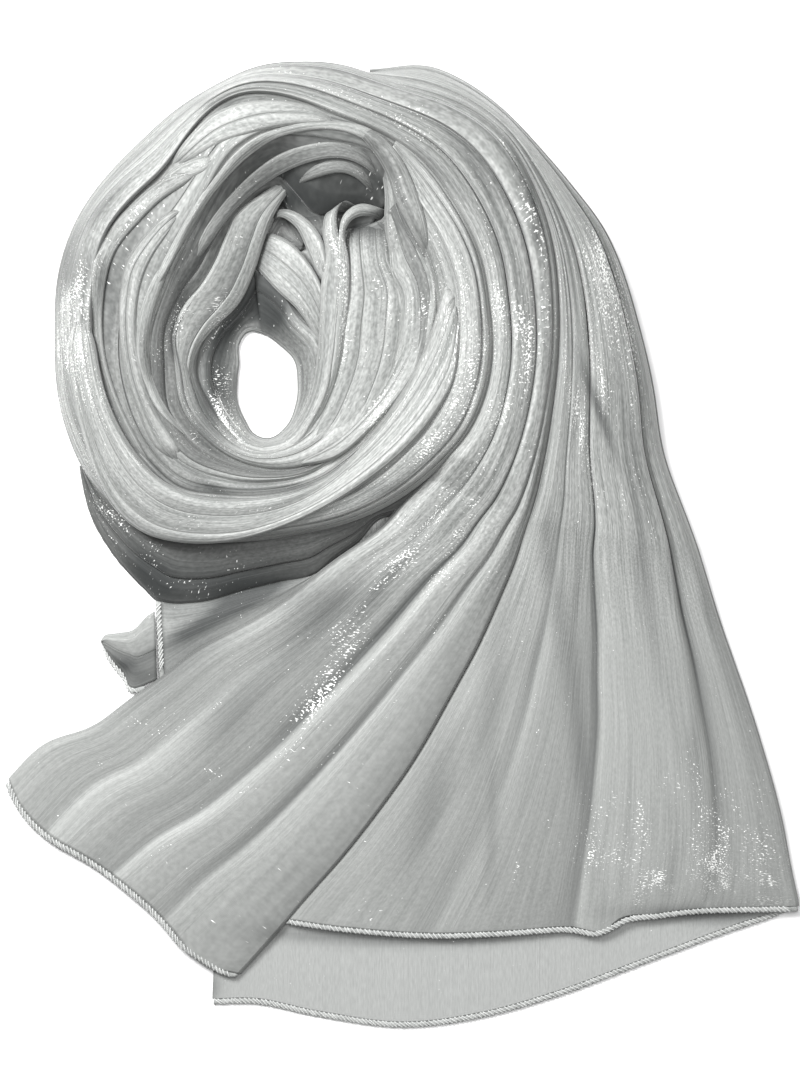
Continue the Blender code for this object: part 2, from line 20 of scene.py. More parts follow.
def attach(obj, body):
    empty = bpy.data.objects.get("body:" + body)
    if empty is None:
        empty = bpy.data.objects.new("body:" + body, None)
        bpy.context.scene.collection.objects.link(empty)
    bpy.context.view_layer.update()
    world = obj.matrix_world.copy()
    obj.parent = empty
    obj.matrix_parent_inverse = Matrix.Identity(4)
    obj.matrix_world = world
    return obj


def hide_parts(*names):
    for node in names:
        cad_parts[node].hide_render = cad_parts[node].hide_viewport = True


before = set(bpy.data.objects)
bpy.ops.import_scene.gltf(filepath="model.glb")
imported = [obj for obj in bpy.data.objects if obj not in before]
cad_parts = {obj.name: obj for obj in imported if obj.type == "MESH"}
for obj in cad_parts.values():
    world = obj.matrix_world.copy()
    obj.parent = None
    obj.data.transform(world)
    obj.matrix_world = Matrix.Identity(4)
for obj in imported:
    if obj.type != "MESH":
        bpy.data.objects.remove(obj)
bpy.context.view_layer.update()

# %% [markdown]
# ## Where things are
#
# +X is to the right of the ring, +Y away from the tails and +Z up from the floor. Round the ring a
# place is a bearing in degrees, 0 along +X, which falls as the cloth winds on, and a radius from the
# ring's middle.

# %% Units and the middle of the ring
MM = 0.001
CENTRE_X, CENTRE_Y = 0.92, -0.315  # brings the middle of the outline to the origin
RING_X, RING_Y = -106.0 + CENTRE_X, 128.0 + CENTRE_Y
FLOOR_CLEAR = 0.5  # the lowest that cloth lies, so that its own thickness fits under it
CLOTH_THICK = 0.35
print("ring middle, mm:", RING_X, RING_Y)

# %% [markdown]
# ## Fold lines
#
# Neighbouring stretches share a line, so a table of each line places both. A row gives the bearing, the
# radius and the height over the floor. The tails below are no longer round, so their lines are x, y,
# height.

# %% Fold lines round the ring
HOLE = (
    (96, 43, 4), (75, 35, 4), (45, 30, 4), (15, 25, 4), (-10, 24.7, 4), (-40, 28.5, 4), (-65, 36, 4),
    (-90, 43, 4), (-107, 41, 4), (-125, 34, 4), (-150, 29, 4), (-180, 26, 4), (-205, 28, 4),
    (-220, 32, 4), (-235, 42, 4), (-250, 47, 4), (-264, 43, 4),
)
RIM_CREASE = (
    (96, 95, 12), (86, 82, 15), (69, 62, 18), (42, 56, 20), (15, 50, 20), (-10, 46, 20), (-40, 45, 20),
    (-70, 49, 20), (-90, 52, 20), (-115, 51, 18), (-140, 48, 16), (-165, 50, 15), (-188, 57, 15),
    (-208, 61, 15), (-228, 62, 15), (-246, 65, 14), (-256, 76, 13), (-264, 95, 14), (-268, 113, 16),
    (-272, 134, 17), (-275, 149, 17),
)
LEAF_LINE = (
    (62, 147, 28), (55, 157, 30), (42, 134, 34), (34, 130, 35), (24, 118, 33), (13, 106, 30),
    (3, 96, 28), (-15, 87, 27), (-30, 82, 27), (-45, 75, 27), (-68, 70, 27), (-90, 66, 27),
    (-115, 64, 27), (-140, 65, 28), (-165, 70, 29), (-190, 73, 31), (-210, 86, 33), (-226, 91, 35),
    (-240, 96, 36), (-250, 110, 36), (-260, 130, 30), (-268, 150, 22), (-273, 153, 17),
    (-278, 137, 12), (-284, 120, 9), (-290, 121, 8), (-296, 133, 9), (-302, 150, 12),
)
RIDGE = (
    (-24, 86, 28), (-45, 79.5, 28), (-68, 77, 28), (-90, 76, 29), (-115, 81, 30), (-140, 92, 33),
    (-165, 96, 36), (-188, 99, 39), (-205, 104, 43), (-222, 112, 48), (-233, 123, 52), (-242, 135, 55),
    (-252, 156, 58), (-262, 186, 60), (-273, 203, 60), (-281, 209, 60), (-286, 212, 59),
    (-292, 214, 57), (-296, 211, 54), (-300, 201, 50), (-303, 187, 46), (-308, 172, 44),
)
BAND_INNER = (
    (57, 187, 46), (52, 172, 44), (43, 165, 42), (35, 158, 40), (27, 151, 38), (18, 141, 37),
    (7, 128.5, 36), (-6, 114, 35), (-24, 98, 34), (-43, 90, 34), (-57, 89, 34), (-73, 88, 34),
    (-94, 91, 33), (-113, 98, 32), (-130, 111, 32), (-146, 115, 32), (-158, 119, 32), (-175, 127, 33),
    (-190, 139, 34), (-206, 153, 36), (-215.5, 165, 38), (-222, 173, 40), (-235, 181, 43),
    (-244, 187, 44), (-250, 199, 45), (-256, 215, 46), (-264, 229, 46), (-274, 227, 47),
    (-281, 221.5, 49), (-286, 218, 53),
)
BAND_OUTER = (
    (74, 218, 53), (67, 218, 53), (61, 217, 52), (53, 214, 50), (45.5, 207, 48), (36.7, 201, 46),
    (30, 196, 44), (21, 187.5, 42), (4, 177.5, 40), (-12.6, 165, 38), (-25, 151, 34), (-40, 138, 30),
    (-59, 126, 28), (-78, 120, 26), (-97, 124, 24), (-114, 136, 20), (-126, 148, 14), (-137, 153, 8),
    (-148, 159, 5), (-170, 165, 4), (-194, 175, 4), (-209, 190.5, 4), (-222, 203, 4), (-230, 209, 4),
    (-242, 219, 4), (-252, 232.5, 4), (-261, 244.5, 4), (-268, 255, 4), (-276, 259.5, 4), (-283, 262, 6),
    (-290, 260, 14), (-296, 262, 22), (-301, 267, 27), (-308, 272, 30), (-315, 272, 32),
    (-320, 267, 32), (-327, 260, 32), (-335, 251, 31), (-343, 241.5, 30), (-355, 231.5, 29),
    (-365, 227, 29), (-377, 228, 28), (-386, 233, 27),
)
OUTLINE = (
    (74, 262.5, 5), (71, 266, 4.5), (68, 274, 4), (65, 283, 4), (58, 288.5, 4), (50, 289, 4),
    (41, 287.5, 4), (31, 291, 4),
    (26, 295, 4), (18, 297, 4), (10, 299, 4), (0, 307, 4), (-10, 320, 4), (-14.5, 336, 4), (-21, 367, 4),
)
LOWER_OUTER = (
    (-50, 138, 13), (-60, 143, 13), (-69, 147.5, 12), (-76, 155, 12), (-87, 157, 11), (-98, 166, 10),
    (-108, 182, 7), (-117.4, 193, 4), (-121, 190, 4), (-132, 183, 4), (-144, 175, 4), (-157, 163.5, 4),
    (-162, 162.5, 4),
)
HOLLOW_INNER = ((-265.5, 97.5, 12), (-270, 99, 12), (-275, 102, 12), (-280, 107, 12), (-284, 112, 12))
HOLLOW_OUTER = (
    (-265.5, 99.5, 12), (-268, 111, 12), (-272, 132, 13), (-275, 144, 13), (-278, 135, 12),
    (-281, 126, 12), (-284, 118, 12),
)
print("rows in the longest lines:", len(LEAF_LINE), len(BAND_INNER), len(BAND_OUTER))


# %% Edges of the tails and the corner flaps
FRONT_EDGE = (
    (31, 64, 24), (3, 36, 20), (-17, 13, 17), (-53, -12, 15), (-94, -44, 13), (-124, -63, 11),
    (-161, -82, 9), (-189, -104, 7), (-217, -124, 5), (-247, -146, 4), (-285, -159, 3), (-316, -190, 3),
)
MIDDLE_EDGE = (
    (103, 26, 27), (97, 8, 24), (90, -14, 22), (79, -40, 20), (62, -78, 18), (42, -115, 16),
    (14, -165, 13), (-14, -206, 10.5), (-45, -246, 8.5), (-75, -280, 7), (-103, -313, 6), (-131, -344, 5),
)
RIGHT_EDGE = (
    (237, -4, 4), (243, -24, 4), (249, -44, 4), (256, -66, 4), (268, -100, 4), (279, -132, 4),
    (293, -178, 4), (303, -216, 4), (309, -248, 4), (313, -268, 4.6), (316, -281, 4.6), (317, -288, 4.6),
)
UNDER_INNER = (
    (-148, -296, 2.2), (-113, -268, 2.2), (-65, -255, 2.2), (0, -246, 2.2), (63, -246, 2.2),
    (127, -246, 2.2), (191, -246, 2.2), (255, -250, 2.2), (296, -262, 2.2), (310, -275, 2.2),
)
UNDER_OUTER = (
    (-151, -362, 2.2), (-113, -362, 2.2), (-65, -372, 2.2), (0, -380.5, 2.2), (63, -373, 2.2),
    (127, -355, 2.2), (191, -331, 2.2), (255, -307, 2.2), (296, -293, 2.2), (310, -287, 2.2),
)
FLAP_TOP = (
    (-240, -75.5, 4), (-236, -71, 4.5), (-226, -69.5, 5), (-214, -67, 5), (-204, -57, 5),
    (-196.9, -52, 5),
)
FLAP_FOOT = (
    (-239.5, -78, 3), (-236, -84, 3), (-229, -94, 3), (-221, -103, 3), (-215, -114, 3), (-194.9, -107, 4),
)

print("rows along the tails:", len(FRONT_EDGE), len(MIDDLE_EDGE), len(RIGHT_EDGE))

# %% Reading a line
def smooth_columns(table, where):
    """Each column of a table, read at any place along it by a curve through its rows."""
    rows = np.array(table, float)
    way = 1 if rows[-1, 0] > rows[0, 0] else -1
    places, where = rows[:, 0] * way, np.atleast_1d(where) * way
    values = rows[:, 1:]
    steps = np.diff(places)[:, None]
    slopes = np.diff(values, axis=0) / steps
    tangents = np.vstack([slopes[:1], (slopes[:-1] + slopes[1:]) / 2, slopes[-1:]])
    at = np.clip(np.searchsorted(places, where) - 1, 0, len(places) - 2)
    width = steps[at]
    s = np.clip((where - places[at])[:, None] / width, 0, 1)
    return (
        (2 * s**3 - 3 * s**2 + 1) * values[at]
        + (s**3 - 2 * s**2 + s) * width * tangents[at]
        + (3 * s**2 - 2 * s**3) * values[at + 1]
        + (s**3 - s**2) * width * tangents[at + 1]
    )


def ring_points(line, bearings):
    radius, height = smooth_columns(line, bearings).T
    turn = np.radians(bearings)
    return np.column_stack([RING_X + radius * np.cos(turn), RING_Y + radius * np.sin(turn), height])


def tail_points(line, places):
    """A place counts the table's rows from 0."""
    return smooth_columns([(i, *row) for i, row in enumerate(line)], places) + (CENTRE_X, CENTRE_Y, 0)


def joined(stations, *parts):
    """Points along several lines in turn. Each part is (from this station down, reader of stations)."""
    points = np.zeros((len(stations), 3))
    for begin, reader in parts:
        chosen = stations <= begin
        if chosen.any():
            points[chosen] = reader(stations[chosen])
    return points


def travelled(line):
    """How far along a line of points each of them is, in mm."""
    return np.concatenate([[0], np.cumsum(np.linalg.norm(np.diff(line, axis=0), axis=1))])


print("length of the hole's edge, mm:", round(travelled(ring_points(HOLE, np.linspace(96, -264, 90)))[-1]))

# %% [markdown]
# ## From fold lines to a sheet
#
# The cloth lies in flat ribbons with crisp edges. From a crease it stands up steeply to the shoulder of
# a ribbon, runs flat across it, and drops steeply into the next crease. Where two ribbons tilt the same
# way, one seems to lie over the other. A chart says where along a stretch, how far across it (0 is the
# inner edge, 1 the outer one), and how high a ribbon stands over the line between the edges. The
# sheet's own grid is made with one operator, and its points are then moved to where the chart puts
# them. Beyond each edge the cloth goes on: it is tucked under its neighbour, or it turns under itself
# where its folded edge shows.

# %% Ribbons, shoulders and creases
# In the charts a ribbon's tone is painted light and shade: above 0 it lightens a lit ribbon, under 0 it
# darkens a shaded one.
# Columns of an edge's finish: how far outwards and how far down from the edge, mm.
TUCKED = ((1.0, 0.8), (2.5, 2.2), (4.0, 4.0), (5.5, 6.0), (7.5, 8.5), (9.5, 11.0))
TURNED = ((0.7, 0.5), (1.1, 1.5), (1.0, 2.6), (0.2, 3.4), (-2.0, 4.0), (-7.0, 4.6))
SHOULDER_GAP, EDGE_GAP = 1.5, 2.6  # from a crease, or from the sheet's edge, to the ribbon's shoulder, mm
FLANK_COLUMNS, TOP_STEP = 4, 2.8  # columns of points on a flank, and their spacing over a flat top, mm
MOST_FLANK = 0.3  # a flank takes at most this share of the way between two creases
TOP_MARGIN = 0.1  # a ribbon's crown keeps this share of the flat top away from each shoulder
STEEPNESS = 0.6  # under 1, so that a flank stands steep out of its crease
EDGE_SHARE = 0.7  # a sheet's outer shoulder has this share of its ribbon's lift
CROWN = 0.4  # the middle of a ribbon stands this much over its shoulders, mm
# The tilt also paints light and shade: the tucked side is painted darker and the raised side lighter.
TILT_SHADING = 0.06  # a ribbon's tucked side is darker by this for each mm of its tilt


def flank(s):
    """Height from the bottom of a crease, 0, to the shoulder beside it, 1."""
    return math.sin(math.pi / 2 * s) ** STEEPNESS


def rise_between(s, from_low, to_low):
    """Share of the rise from one rail to the next: steep out of a crease, even over a flat top."""
    if from_low:
        return flank(s)
    if to_low:
        return 1 - flank(1 - s)
    return s


def ribbon_rails(folds, stations, width, soft):
    """Lines along a sheet, each [share across, lift, painted light and shade, is it a crease or edge]."""
    read = [smooth_columns(fold[-1], stations).T for fold in folds]
    zero = 0 * stations
    rails = [[zero, zero, None, True]]
    for k, fold in enumerate(folds):
        across, lift = read[k]
        if fold[0] == "crease":
            rails.append([across, lift, None, True])
            continue
        tilt, shading_tone = fold[1:3]
        first, last = k == 0, k == len(folds) - 1
        left = zero if first else read[k - 1][0]
        right = zero + 1 if last else read[k + 1][0]
        most = MOST_FLANK * (right - left)
        low = left + np.minimum((EDGE_GAP if first else SHOULDER_GAP + soft) / width, most)
        high = right - np.minimum((EDGE_GAP if last else SHOULDER_GAP + soft) / width, most)
        margin = TOP_MARGIN * (high - low)
        middle = np.clip(across, low + margin, high - margin)
        # The shoulder that the tilt raises gets painted light, the tucked one painted shade.
        rails.append([low, lift * EDGE_SHARE if first else lift - tilt / 2, shading_tone - tilt * TILT_SHADING, False])
        rails.append([middle, lift + CROWN, shading_tone, False])
        rails.append([high, lift * EDGE_SHARE if last else lift + tilt / 2, shading_tone + tilt * TILT_SHADING, False])
    rails.append([zero + 1, zero, None, True])
    for before, rail, after in zip(rails[1:], rails[2:-1], rails[3:]):
        if rail[3]:
            rail[1] = np.minimum(before[1], after[1]) - rail[1]
    return rails


def folded_grid(inner, outer, stations, folds, soft=0.0):
    """Points of a sheet between two edges, and the painted light and shade of each column.

    A ribbon is ("ridge", tilt, tone, rows of station, share across, lift). Between two ribbons is
    ("crease", rows of station, share across, depth under the lower shoulder). soft is how many mm wider
    than usual the flanks are, everywhere or at each station, so that folds can open into soft drape.
    """
    span = outer - inner
    width = np.linalg.norm(span[:, :2], axis=1)
    rails = ribbon_rails(folds, stations, width, soft)
    columns, shading_tones = [(rails[0][0], rails[0][1])], [rails[1][2]]
    for (a0, l0, shading_tone0, low0), (a1, l1, shading_tone1, low1) in zip(rails, rails[1:]):
        flat = not (low0 or low1)
        count = max(1, round((np.abs(a1 - a0) * width).mean() / TOP_STEP)) if flat else FLANK_COLUMNS
        for k in range(1, count + 1):
            s = k / count
            columns.append((a0 + (a1 - a0) * s, l0 + (l1 - l0) * rise_between(s, low0, low1)))
            if flat:
                shading_tones.append(shading_tone0 + (shading_tone1 - shading_tone0) * s)
            else:
                shading_tones.append(shading_tone0 if shading_tone1 is None else shading_tone1)
    grid = np.stack([inner + span * a[:, None] for a, _ in columns], axis=1)
    grid[:, :, 2] += np.stack([lift for _, lift in columns], axis=1)
    return grid, np.array(shading_tones)


def eased(points, reach=4):
    """A line of points with its kinks smoothed over a few stations on each side."""
    padded = np.pad(points, ((reach, reach), (0, 0)), mode="edge")
    return sum(padded[k:k + len(points)] for k in range(2 * reach + 1)) / (2 * reach + 1)


def edge_finished(grid, first, last):
    """The grid with more columns beyond its first and last ones, each (outwards, down) in mm."""
    def beyond(edge, before, finish):
        away = edge[:, :2] - before[:, :2]
        away /= np.maximum(np.linalg.norm(away, axis=1), 1e-6)[:, None]
        steps = np.array(finish, float)
        steps = np.broadcast_to(steps, (len(edge), *steps.shape[-2:]))
        made = []
        for k in range(steps.shape[1]):
            out, down = steps[:, k, 0], steps[:, k, 1]
            made.append(np.column_stack([edge[:, :2] + away * out[:, None], edge[:, 2] - down]))
        return made

    before = beyond(grid[:, 0], grid[:, 2], first)[::-1]
    after = beyond(grid[:, -1], grid[:, -3], last)
    return np.stack([*before, *np.moveaxis(grid, 1, 0), *after], axis=1)


print("height half way along a flank, of 1:", round(flank(0.5), 2))


# %% [markdown]
# ## Crinkle pleats
#
# The cloth was wrung when it was made, so fine pleats run along it, uneven in length, depth and spacing.
# Each is a soft trough or ridge that wanders a little, fades in and fades out again.

# %% Pleats along a sheet
PLEAT_MARGIN = 0.02  # share of a sheet's width along each edge where no pleat is placed
PLEAT_SWAY, SWAY_LENGTH = 5.0, 95.0  # how far a pleat wanders to each side, and how fast, mm
PLEAT_FADE = 0.7  # under 1, so that a pleat stays deep until near its ends


def pleated(grid, seed, count, depth, wide, long):
    """Presses fine pleats into a grid of points, along its rows.

    depth, wide and long are each (least, most) in mm. Two pleats in three are troughs.
    """
    draw = random.Random(seed)
    rows, cols = grid.shape[:2]
    step_along = np.linalg.norm(np.diff(grid, axis=0), axis=2).mean(axis=1)
    along = np.concatenate([[0], np.cumsum(step_along)])[:, None]
    step_across = np.linalg.norm(np.diff(grid, axis=1), axis=2).mean(axis=0)
    across = np.concatenate([[0], np.cumsum(step_across)])[None, :]
    total, reach = along[-1, 0], across[0, -1]
    push = np.zeros((rows, cols))
    for _ in range(count):
        middle, place = draw.uniform(0, total), draw.uniform(PLEAT_MARGIN, 1 - PLEAT_MARGIN) * reach
        half, width = draw.uniform(*long) / 2, draw.uniform(*wide)
        lift = draw.uniform(*depth) * draw.choice((-1, -1, 1))
        sway, turn = draw.uniform(-PLEAT_SWAY, PLEAT_SWAY), draw.uniform(0, math.tau)
        line = place + sway * np.sin((along - middle) / SWAY_LENGTH + turn)
        fade = np.clip(1 - np.abs(along - middle) / half, 0, 1) ** PLEAT_FADE
        push += lift * fade * np.exp(-(((across - line) / width) ** 2))
    normals = np.cross(np.gradient(grid, axis=0), np.gradient(grid, axis=1))
    normals /= np.maximum(np.linalg.norm(normals, axis=2, keepdims=True), 1e-9)
    normals *= np.where(normals[:, :, 2:] < 0, -1, 1)
    return grid + normals * push[:, :, None]

# %% [markdown]
# ## Where the cloth glitters
#
# Shimmer chiffon has a flat metallic thread in its weave. Where a ridge turns the thread to the light
# it gleams, and that gleam is painted highlight: patches of extra glitter, each an oval on the scarf,
# with its middle, its length and width, the way it lies, and how strong it is. Pools of painted shade
# are placed in the same way, where the cloth lies deep or under other cloth. Every sheet stores the sum
# of the patches at its points as an attribute, which its finish reads.

# %% Painted highlight patches and painted shade pools
# Columns: x and y from the ring's middle and half length and half width, all in mm, then the bearing of
# its length and its strength.
# Painted highlight: each oval adds white glitter where the light catches the cloth.
PAINTED_GLEAMS = (
    (-153, 66, 40, 10, 80, .5), (-150, 30, 34, 12, 95, .9), (-140, -4, 30, 9, 115, .8),
    (-163, 20, 60, 5, 88, .8), (-150, -50, 50, 9, 118, .5), (-122, 110, 60, 6, 50, .6),
    (-48, 176, 40, 5, 30, .6), (-70, 50, 30, 9, 62, .7), (-38, 60, 22, 8, 70, .9),
    (-62, -20, 34, 5, 108, .7), (-36, -12, 34, 8, 100, 1.0), (-26, -38, 26, 6, 125, .8),
    (60, 62, 60, 6, 92, 1.0), (57, 108, 22, 9, 90, .7), (92, 60, 70, 10, 85, .5),
    (88, -20, 36, 8, 60, .7), (128, 76, 44, 11, 85, .6), (152, 40, 46, 16, 82, 1.0),
    (170, 20, 50, 6, 72, 1.0), (140, -30, 44, 9, 48, .8), (176, 100, 60, 5, 100, .5),
    (196, 60, 26, 8, 92, .9), (208, 30, 60, 6, 88, .8), (186, -20, 50, 7, 62, .9),
    (200, 160, 70, 5, 112, .6), (216, 90, 50, 5, 96, .5), (90, 212, 40, 5, -25, .5),
    (130, 190, 50, 5, -40, .5), (232, 100, 60, 4, 98, .5), (262, 100, 36, 10, 112, .7),
    (272, 60, 50, 13, 100, 1.0), (258, 30, 40, 8, 96, .9), (290, 20, 60, 6, 95, .6),
    (244, -20, 50, 6, 104, .7), (252, -60, 60, 7, 100, .5), (100, -66, 40, 8, 35, .4),
    (124, -118, 60, 9, 50, .6), (84, -168, 60, 10, 52, .5), (56, -222, 70, 14, 60, .65),
    (30, -262, 56, 18, 62, .6), (150, -120, 60, 6, 62, .6), (120, -190, 50, 9, 62, .6),
    (-40, -310, 34, 7, 150, .7), (-110, -265, 30, 6, 150, .5), (262, -368, 36, 16, 95, .8),
    (296, -366, 44, 14, 93, .9), (356, -360, 50, 20, 98, 1.0), (400, -378, 44, 18, 100, 1.0),
    (330, -392, 60, 14, 5, .7), (326, -330, 40, 10, 95, .6), (220, -300, 60, 8, 100, .4),
    (-95, -175, 22, 7, 88, .7), (200, -378, 14, 5, 90, .5), (-120, -110, 60, 8, 140, .5),
    (-60, -150, 40, 5, 165, .4),
)
# Painted shade: each oval darkens the cloth towards near black where it lies deep, in hollows, creases and
# troughs, and under other cloth.
PAINTED_SHADES = (
    (46, 148, 44, 13, 5, .85), (64, 166, 44, 8, -15, .45), (16, 152, 26, 12, 30, .6),
    (10, 82, 30, 16, 70, .9), (-2, 64, 34, 18, 116, 1), (-42, 2, 48, 17, 86, .95),
    (-30, 50, 24, 8, 60, .8), (78, 124, 24, 9, 0, .9), (-60, 120, 70, 13, 52, .35),
    (20, 186, 60, 9, 15, .4), (-6, 216, 50, 7, -8, .55), (-110, 82, 60, 6, 66, .35),
    (-126, 40, 60, 5, 88, .4), (-88, 0, 40, 4, 92, .5), (-130, 140, 30, 6, 48, .55),
    (-140, 92, 26, 6, 70, .5), (160, 178, 60, 7, -52, .35), (184, 110, 70, 7, -72, .4),
    (208, 150, 50, 4, -70, .5), (214, 90, 60, 3, -86, .8), (132, 170, 40, 5, -45, .4),
    (104, 140, 50, 6, -60, .5), (120, 60, 60, 5, 92, .3), (100, -50, 50, 5, 45, .6),
    (0, -82, 90, 5, 0, .5), (-60, -70, 50, 5, -35, .45), (-40, -158, 84, 20, -6, .75),
    (-95, -148, 40, 14, -60, .7), (38, -195, 75, 15, 45, .6), (-30, -262, 40, 18, 48, .35),
    (100, -148, 70, 6, 52, .5), (262, -20, 40, 4, 110, .8), (-44, -186, 70, 6, 28, .6),
    (50, -440, 70, 6, -3, .55), (160, -442, 70, 5, 2, .5), (-116, -222, 16, 7, -30, .7),
    (130, -330, 60, 14, 75, .35), (250, -300, 90, 8, 95, .4), (340, -300, 40, 5, 92, .35),
    (178, -350, 60, 5, 88, .3), (-118, 96, 52, 5, 62, .6), (-71, 50, 36, 6, 80, .75),
    (-84, -78, 26, 6, -48, .7), (-160, 92, 30, 12, 80, .6), (345, -423, 56, 7, -2, .75),
    (-48, -480, 14, 9, 90, .6), (-58, -204, 84, 20, 43, .6), (290, -60, 80, 6, 100, .35),
    (300, -160, 80, 7, 100, .4), (226, -150, 80, 8, 98, .35), (180, -230, 80, 10, 80, .3),
)


def patches_at(patches, points):
    """The sum of the patches at each point, from 0 to 1."""
    total = np.zeros(len(points))
    for x, y, length, width, bearing, strength in patches:
        turn = math.radians(bearing)
        dx, dy = points[:, 0] - RING_X - x, points[:, 1] - RING_Y - y
        u = (dx * math.cos(turn) + dy * math.sin(turn)) / length
        v = (dy * math.cos(turn) - dx * math.sin(turn)) / width
        total += strength * np.exp(-(u * u + v * v))
    return np.clip(total, 0, 1)


print("patches:", len(PAINTED_GLEAMS), "gleaming,", len(PAINTED_SHADES), "shaded")

# %% [markdown]
# ## A sheet from its points
#
# One operator makes a flat grid with a UV map. Its points then go to their places, and the UV map is
# stretched to the cloth's real size, so that weave and crinkle are the same size on every piece. A
# Solidify modifier gives the chiffon its thickness, downwards.

# %% How deep a point lies in its fold, which sets the painted shade in its crease
DEPTH_WINDOW, DEPTH_FULL = 5, 3.2  # columns on each side, and the depth in mm that counts as full


def painted_crease_shade(grid):
    """0 on the ribbons' tops, up to 1 in the creases, from each point's height under its surroundings; the
    finish paints shade in the creases by it.
    """
    height = grid[:, :, 2]
    padded = np.pad(height, ((0, 0), (DEPTH_WINDOW, DEPTH_WINDOW)), mode="edge")
    total = sum(padded[:, k:k + height.shape[1]] for k in range(2 * DEPTH_WINDOW + 1))
    return np.clip((total / (2 * DEPTH_WINDOW + 1) - height) / DEPTH_FULL, 0, 1)

# %% A mesh from a grid of points
WELD = 1e-6  # points nearer than this are one, m


def as_mesh(name, shape):
    mesh = bpy.data.meshes.new(name)
    shape.to_mesh(mesh)
    shape.free()
    return mesh


def in_scene(name, mesh, finish):
    """An object at the origin with this mesh and finish."""
    mesh.materials.append(finish)
    made = bpy.data.objects.new(name, mesh)
    bpy.context.scene.collection.objects.link(made)
    return made


def grid_mesh(name, grid, rolled_up=False):
    """A mesh through a grid of points in mm, with its UV map in metres on the real cloth.

    rolled_up joins the last column to the first and closes both ends, which makes a tube.
    """
    rows, cols = grid.shape[:2]
    cloth = bmesh.new()
    cloth.loops.layers.uv.new("cloth")
    bmesh.ops.create_grid(cloth, x_segments=cols - 1, y_segments=rows - 1, size=0.5, calc_uvs=True)
    along = np.linalg.norm(np.diff(grid, axis=0), axis=2).mean(axis=1).sum()
    across = np.linalg.norm(np.diff(grid, axis=1), axis=2).mean(axis=0).sum()
    uv = cloth.loops.layers.uv["cloth"]
    for face in cloth.faces:
        for loop in face.loops:
            loop[uv].uv = (loop[uv].uv.x * across * MM, loop[uv].uv.y * along * MM)
    places = []
    for vert in cloth.verts:
        j, i = round((vert.co.x + 0.5) * (cols - 1)), round((vert.co.y + 0.5) * (rows - 1))
        places.append((i, j))
        vert.co = grid[i, j] * MM
    if rolled_up:
        bmesh.ops.remove_doubles(cloth, verts=cloth.verts, dist=WELD)
        bmesh.ops.holes_fill(cloth, edges=cloth.edges, sides=cols)
        bmesh.ops.recalc_face_normals(cloth, faces=cloth.faces)
    elif sum(face.normal.z * face.calc_area() for face in cloth.faces) < 0:
        bmesh.ops.reverse_faces(cloth, faces=cloth.faces)
    for face in cloth.faces:
        face.smooth = True
    return as_mesh(name, cloth), np.array(places), across, along


# %% Sheets
# Streaks and glitter grow faint from here below the ring's middle, over this length, mm.
CALM_FROM, CALM_OVER = 90.0, 140.0

made_sheets = {}


def sheet(name, grid, shading_tones, finish, nodes, flat=None, held="folded", row_shade=None):
    """A sheet of cloth through a grid of points in mm, which stands for the CAD nodes named.

    With no flat size given, a ribbon was cut as wide and as long as it lies. row_shade paints shade on it
    row by row, in place of the painted shade pools.
    """
    shading_tones = np.pad(shading_tones, (grid.shape[1] - len(shading_tones)) // 2, mode="edge")
    grid = grid.copy()
    grid[:, :, 2] = np.maximum(grid[:, :, 2], FLOOR_CLEAR)
    mesh, places, across, along = grid_mesh(name, grid)
    i, j = places.T
    points = grid[i, j]
    # Stored at each point: the painted highlight of the gleaming patches, the painted shade of the pools
    # (given row by row instead when row_shade is), the painted shade of its crease, the painted light and
    # shade of its ribbon, and the calm of the tails.
    stored = {
        "painted_gleam": patches_at(PAINTED_GLEAMS, points),
        "painted_shade": patches_at(PAINTED_SHADES, points) if row_shade is None else row_shade[i],
        "painted_crease_shade": painted_crease_shade(grid)[i, j],
        "shading_tone": shading_tones[j],
        "calm": np.clip((RING_Y - CALM_FROM - points[:, 1]) / CALM_OVER, 0, 1),
    }
    for label, values in stored.items():
        mesh.attributes.new(label, "FLOAT", "POINT").data.foreach_set("value", values.astype(np.float32))
    made = in_scene(name, mesh, finish)
    wall = made.modifiers.new("cloth wall", "SOLIDIFY")
    wall.thickness = CLOTH_THICK * MM
    wall.offset = -1
    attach(made, "root")
    if nodes:
        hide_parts(*nodes)
    size = sum(p.area for p in mesh.polygons)
    print(f"{name}: {len(mesh.polygons)} faces, {across:.0f} x {along:.0f} mm, {size:.4f} m2")
    flat = flat or (round(across * MM, 4), round(along * MM, 4))
    made_sheets[name] = (made, flat, held)
    return made

# %% [markdown]
# ## Effects that the finishes share
#
# A shader node group is an effect built once. The crinkle group draws streaks that run along the cloth,
# the thread group draws its fine weave, and the glitter group draws the flat metallic thread, which
# shows as short bright dashes and as a fine grain. Each reads the UV map, which is in metres on the
# real cloth, so a scale is a number of repeats to a metre.

# %% Node helpers
def node_group(name, inputs, outputs):
    """An empty group with named sockets, and its input and output nodes."""
    tree = bpy.data.node_groups.new(name, "ShaderNodeTree")
    for label, kind, value in inputs:
        socket = tree.interface.new_socket(name=label, in_out="INPUT", socket_type=kind)
        if value is not None:
            socket.default_value = value
    for label, kind in outputs:
        tree.interface.new_socket(name=label, in_out="OUTPUT", socket_type=kind)
    return tree, tree.nodes.new("NodeGroupInput"), tree.nodes.new("NodeGroupOutput")


def add(tree, kind, values=(), links=(), **settings):
    """A node with its settings, its sockets' values and what is linked into them."""
    node = tree.nodes.new(kind)
    for key, value in settings.items():
        setattr(node, key, value)
    for socket, value in dict(values).items():
        node.inputs[socket].default_value = value
    for socket, source in dict(links).items():
        tree.links.new(source, node.inputs[socket])
    return node


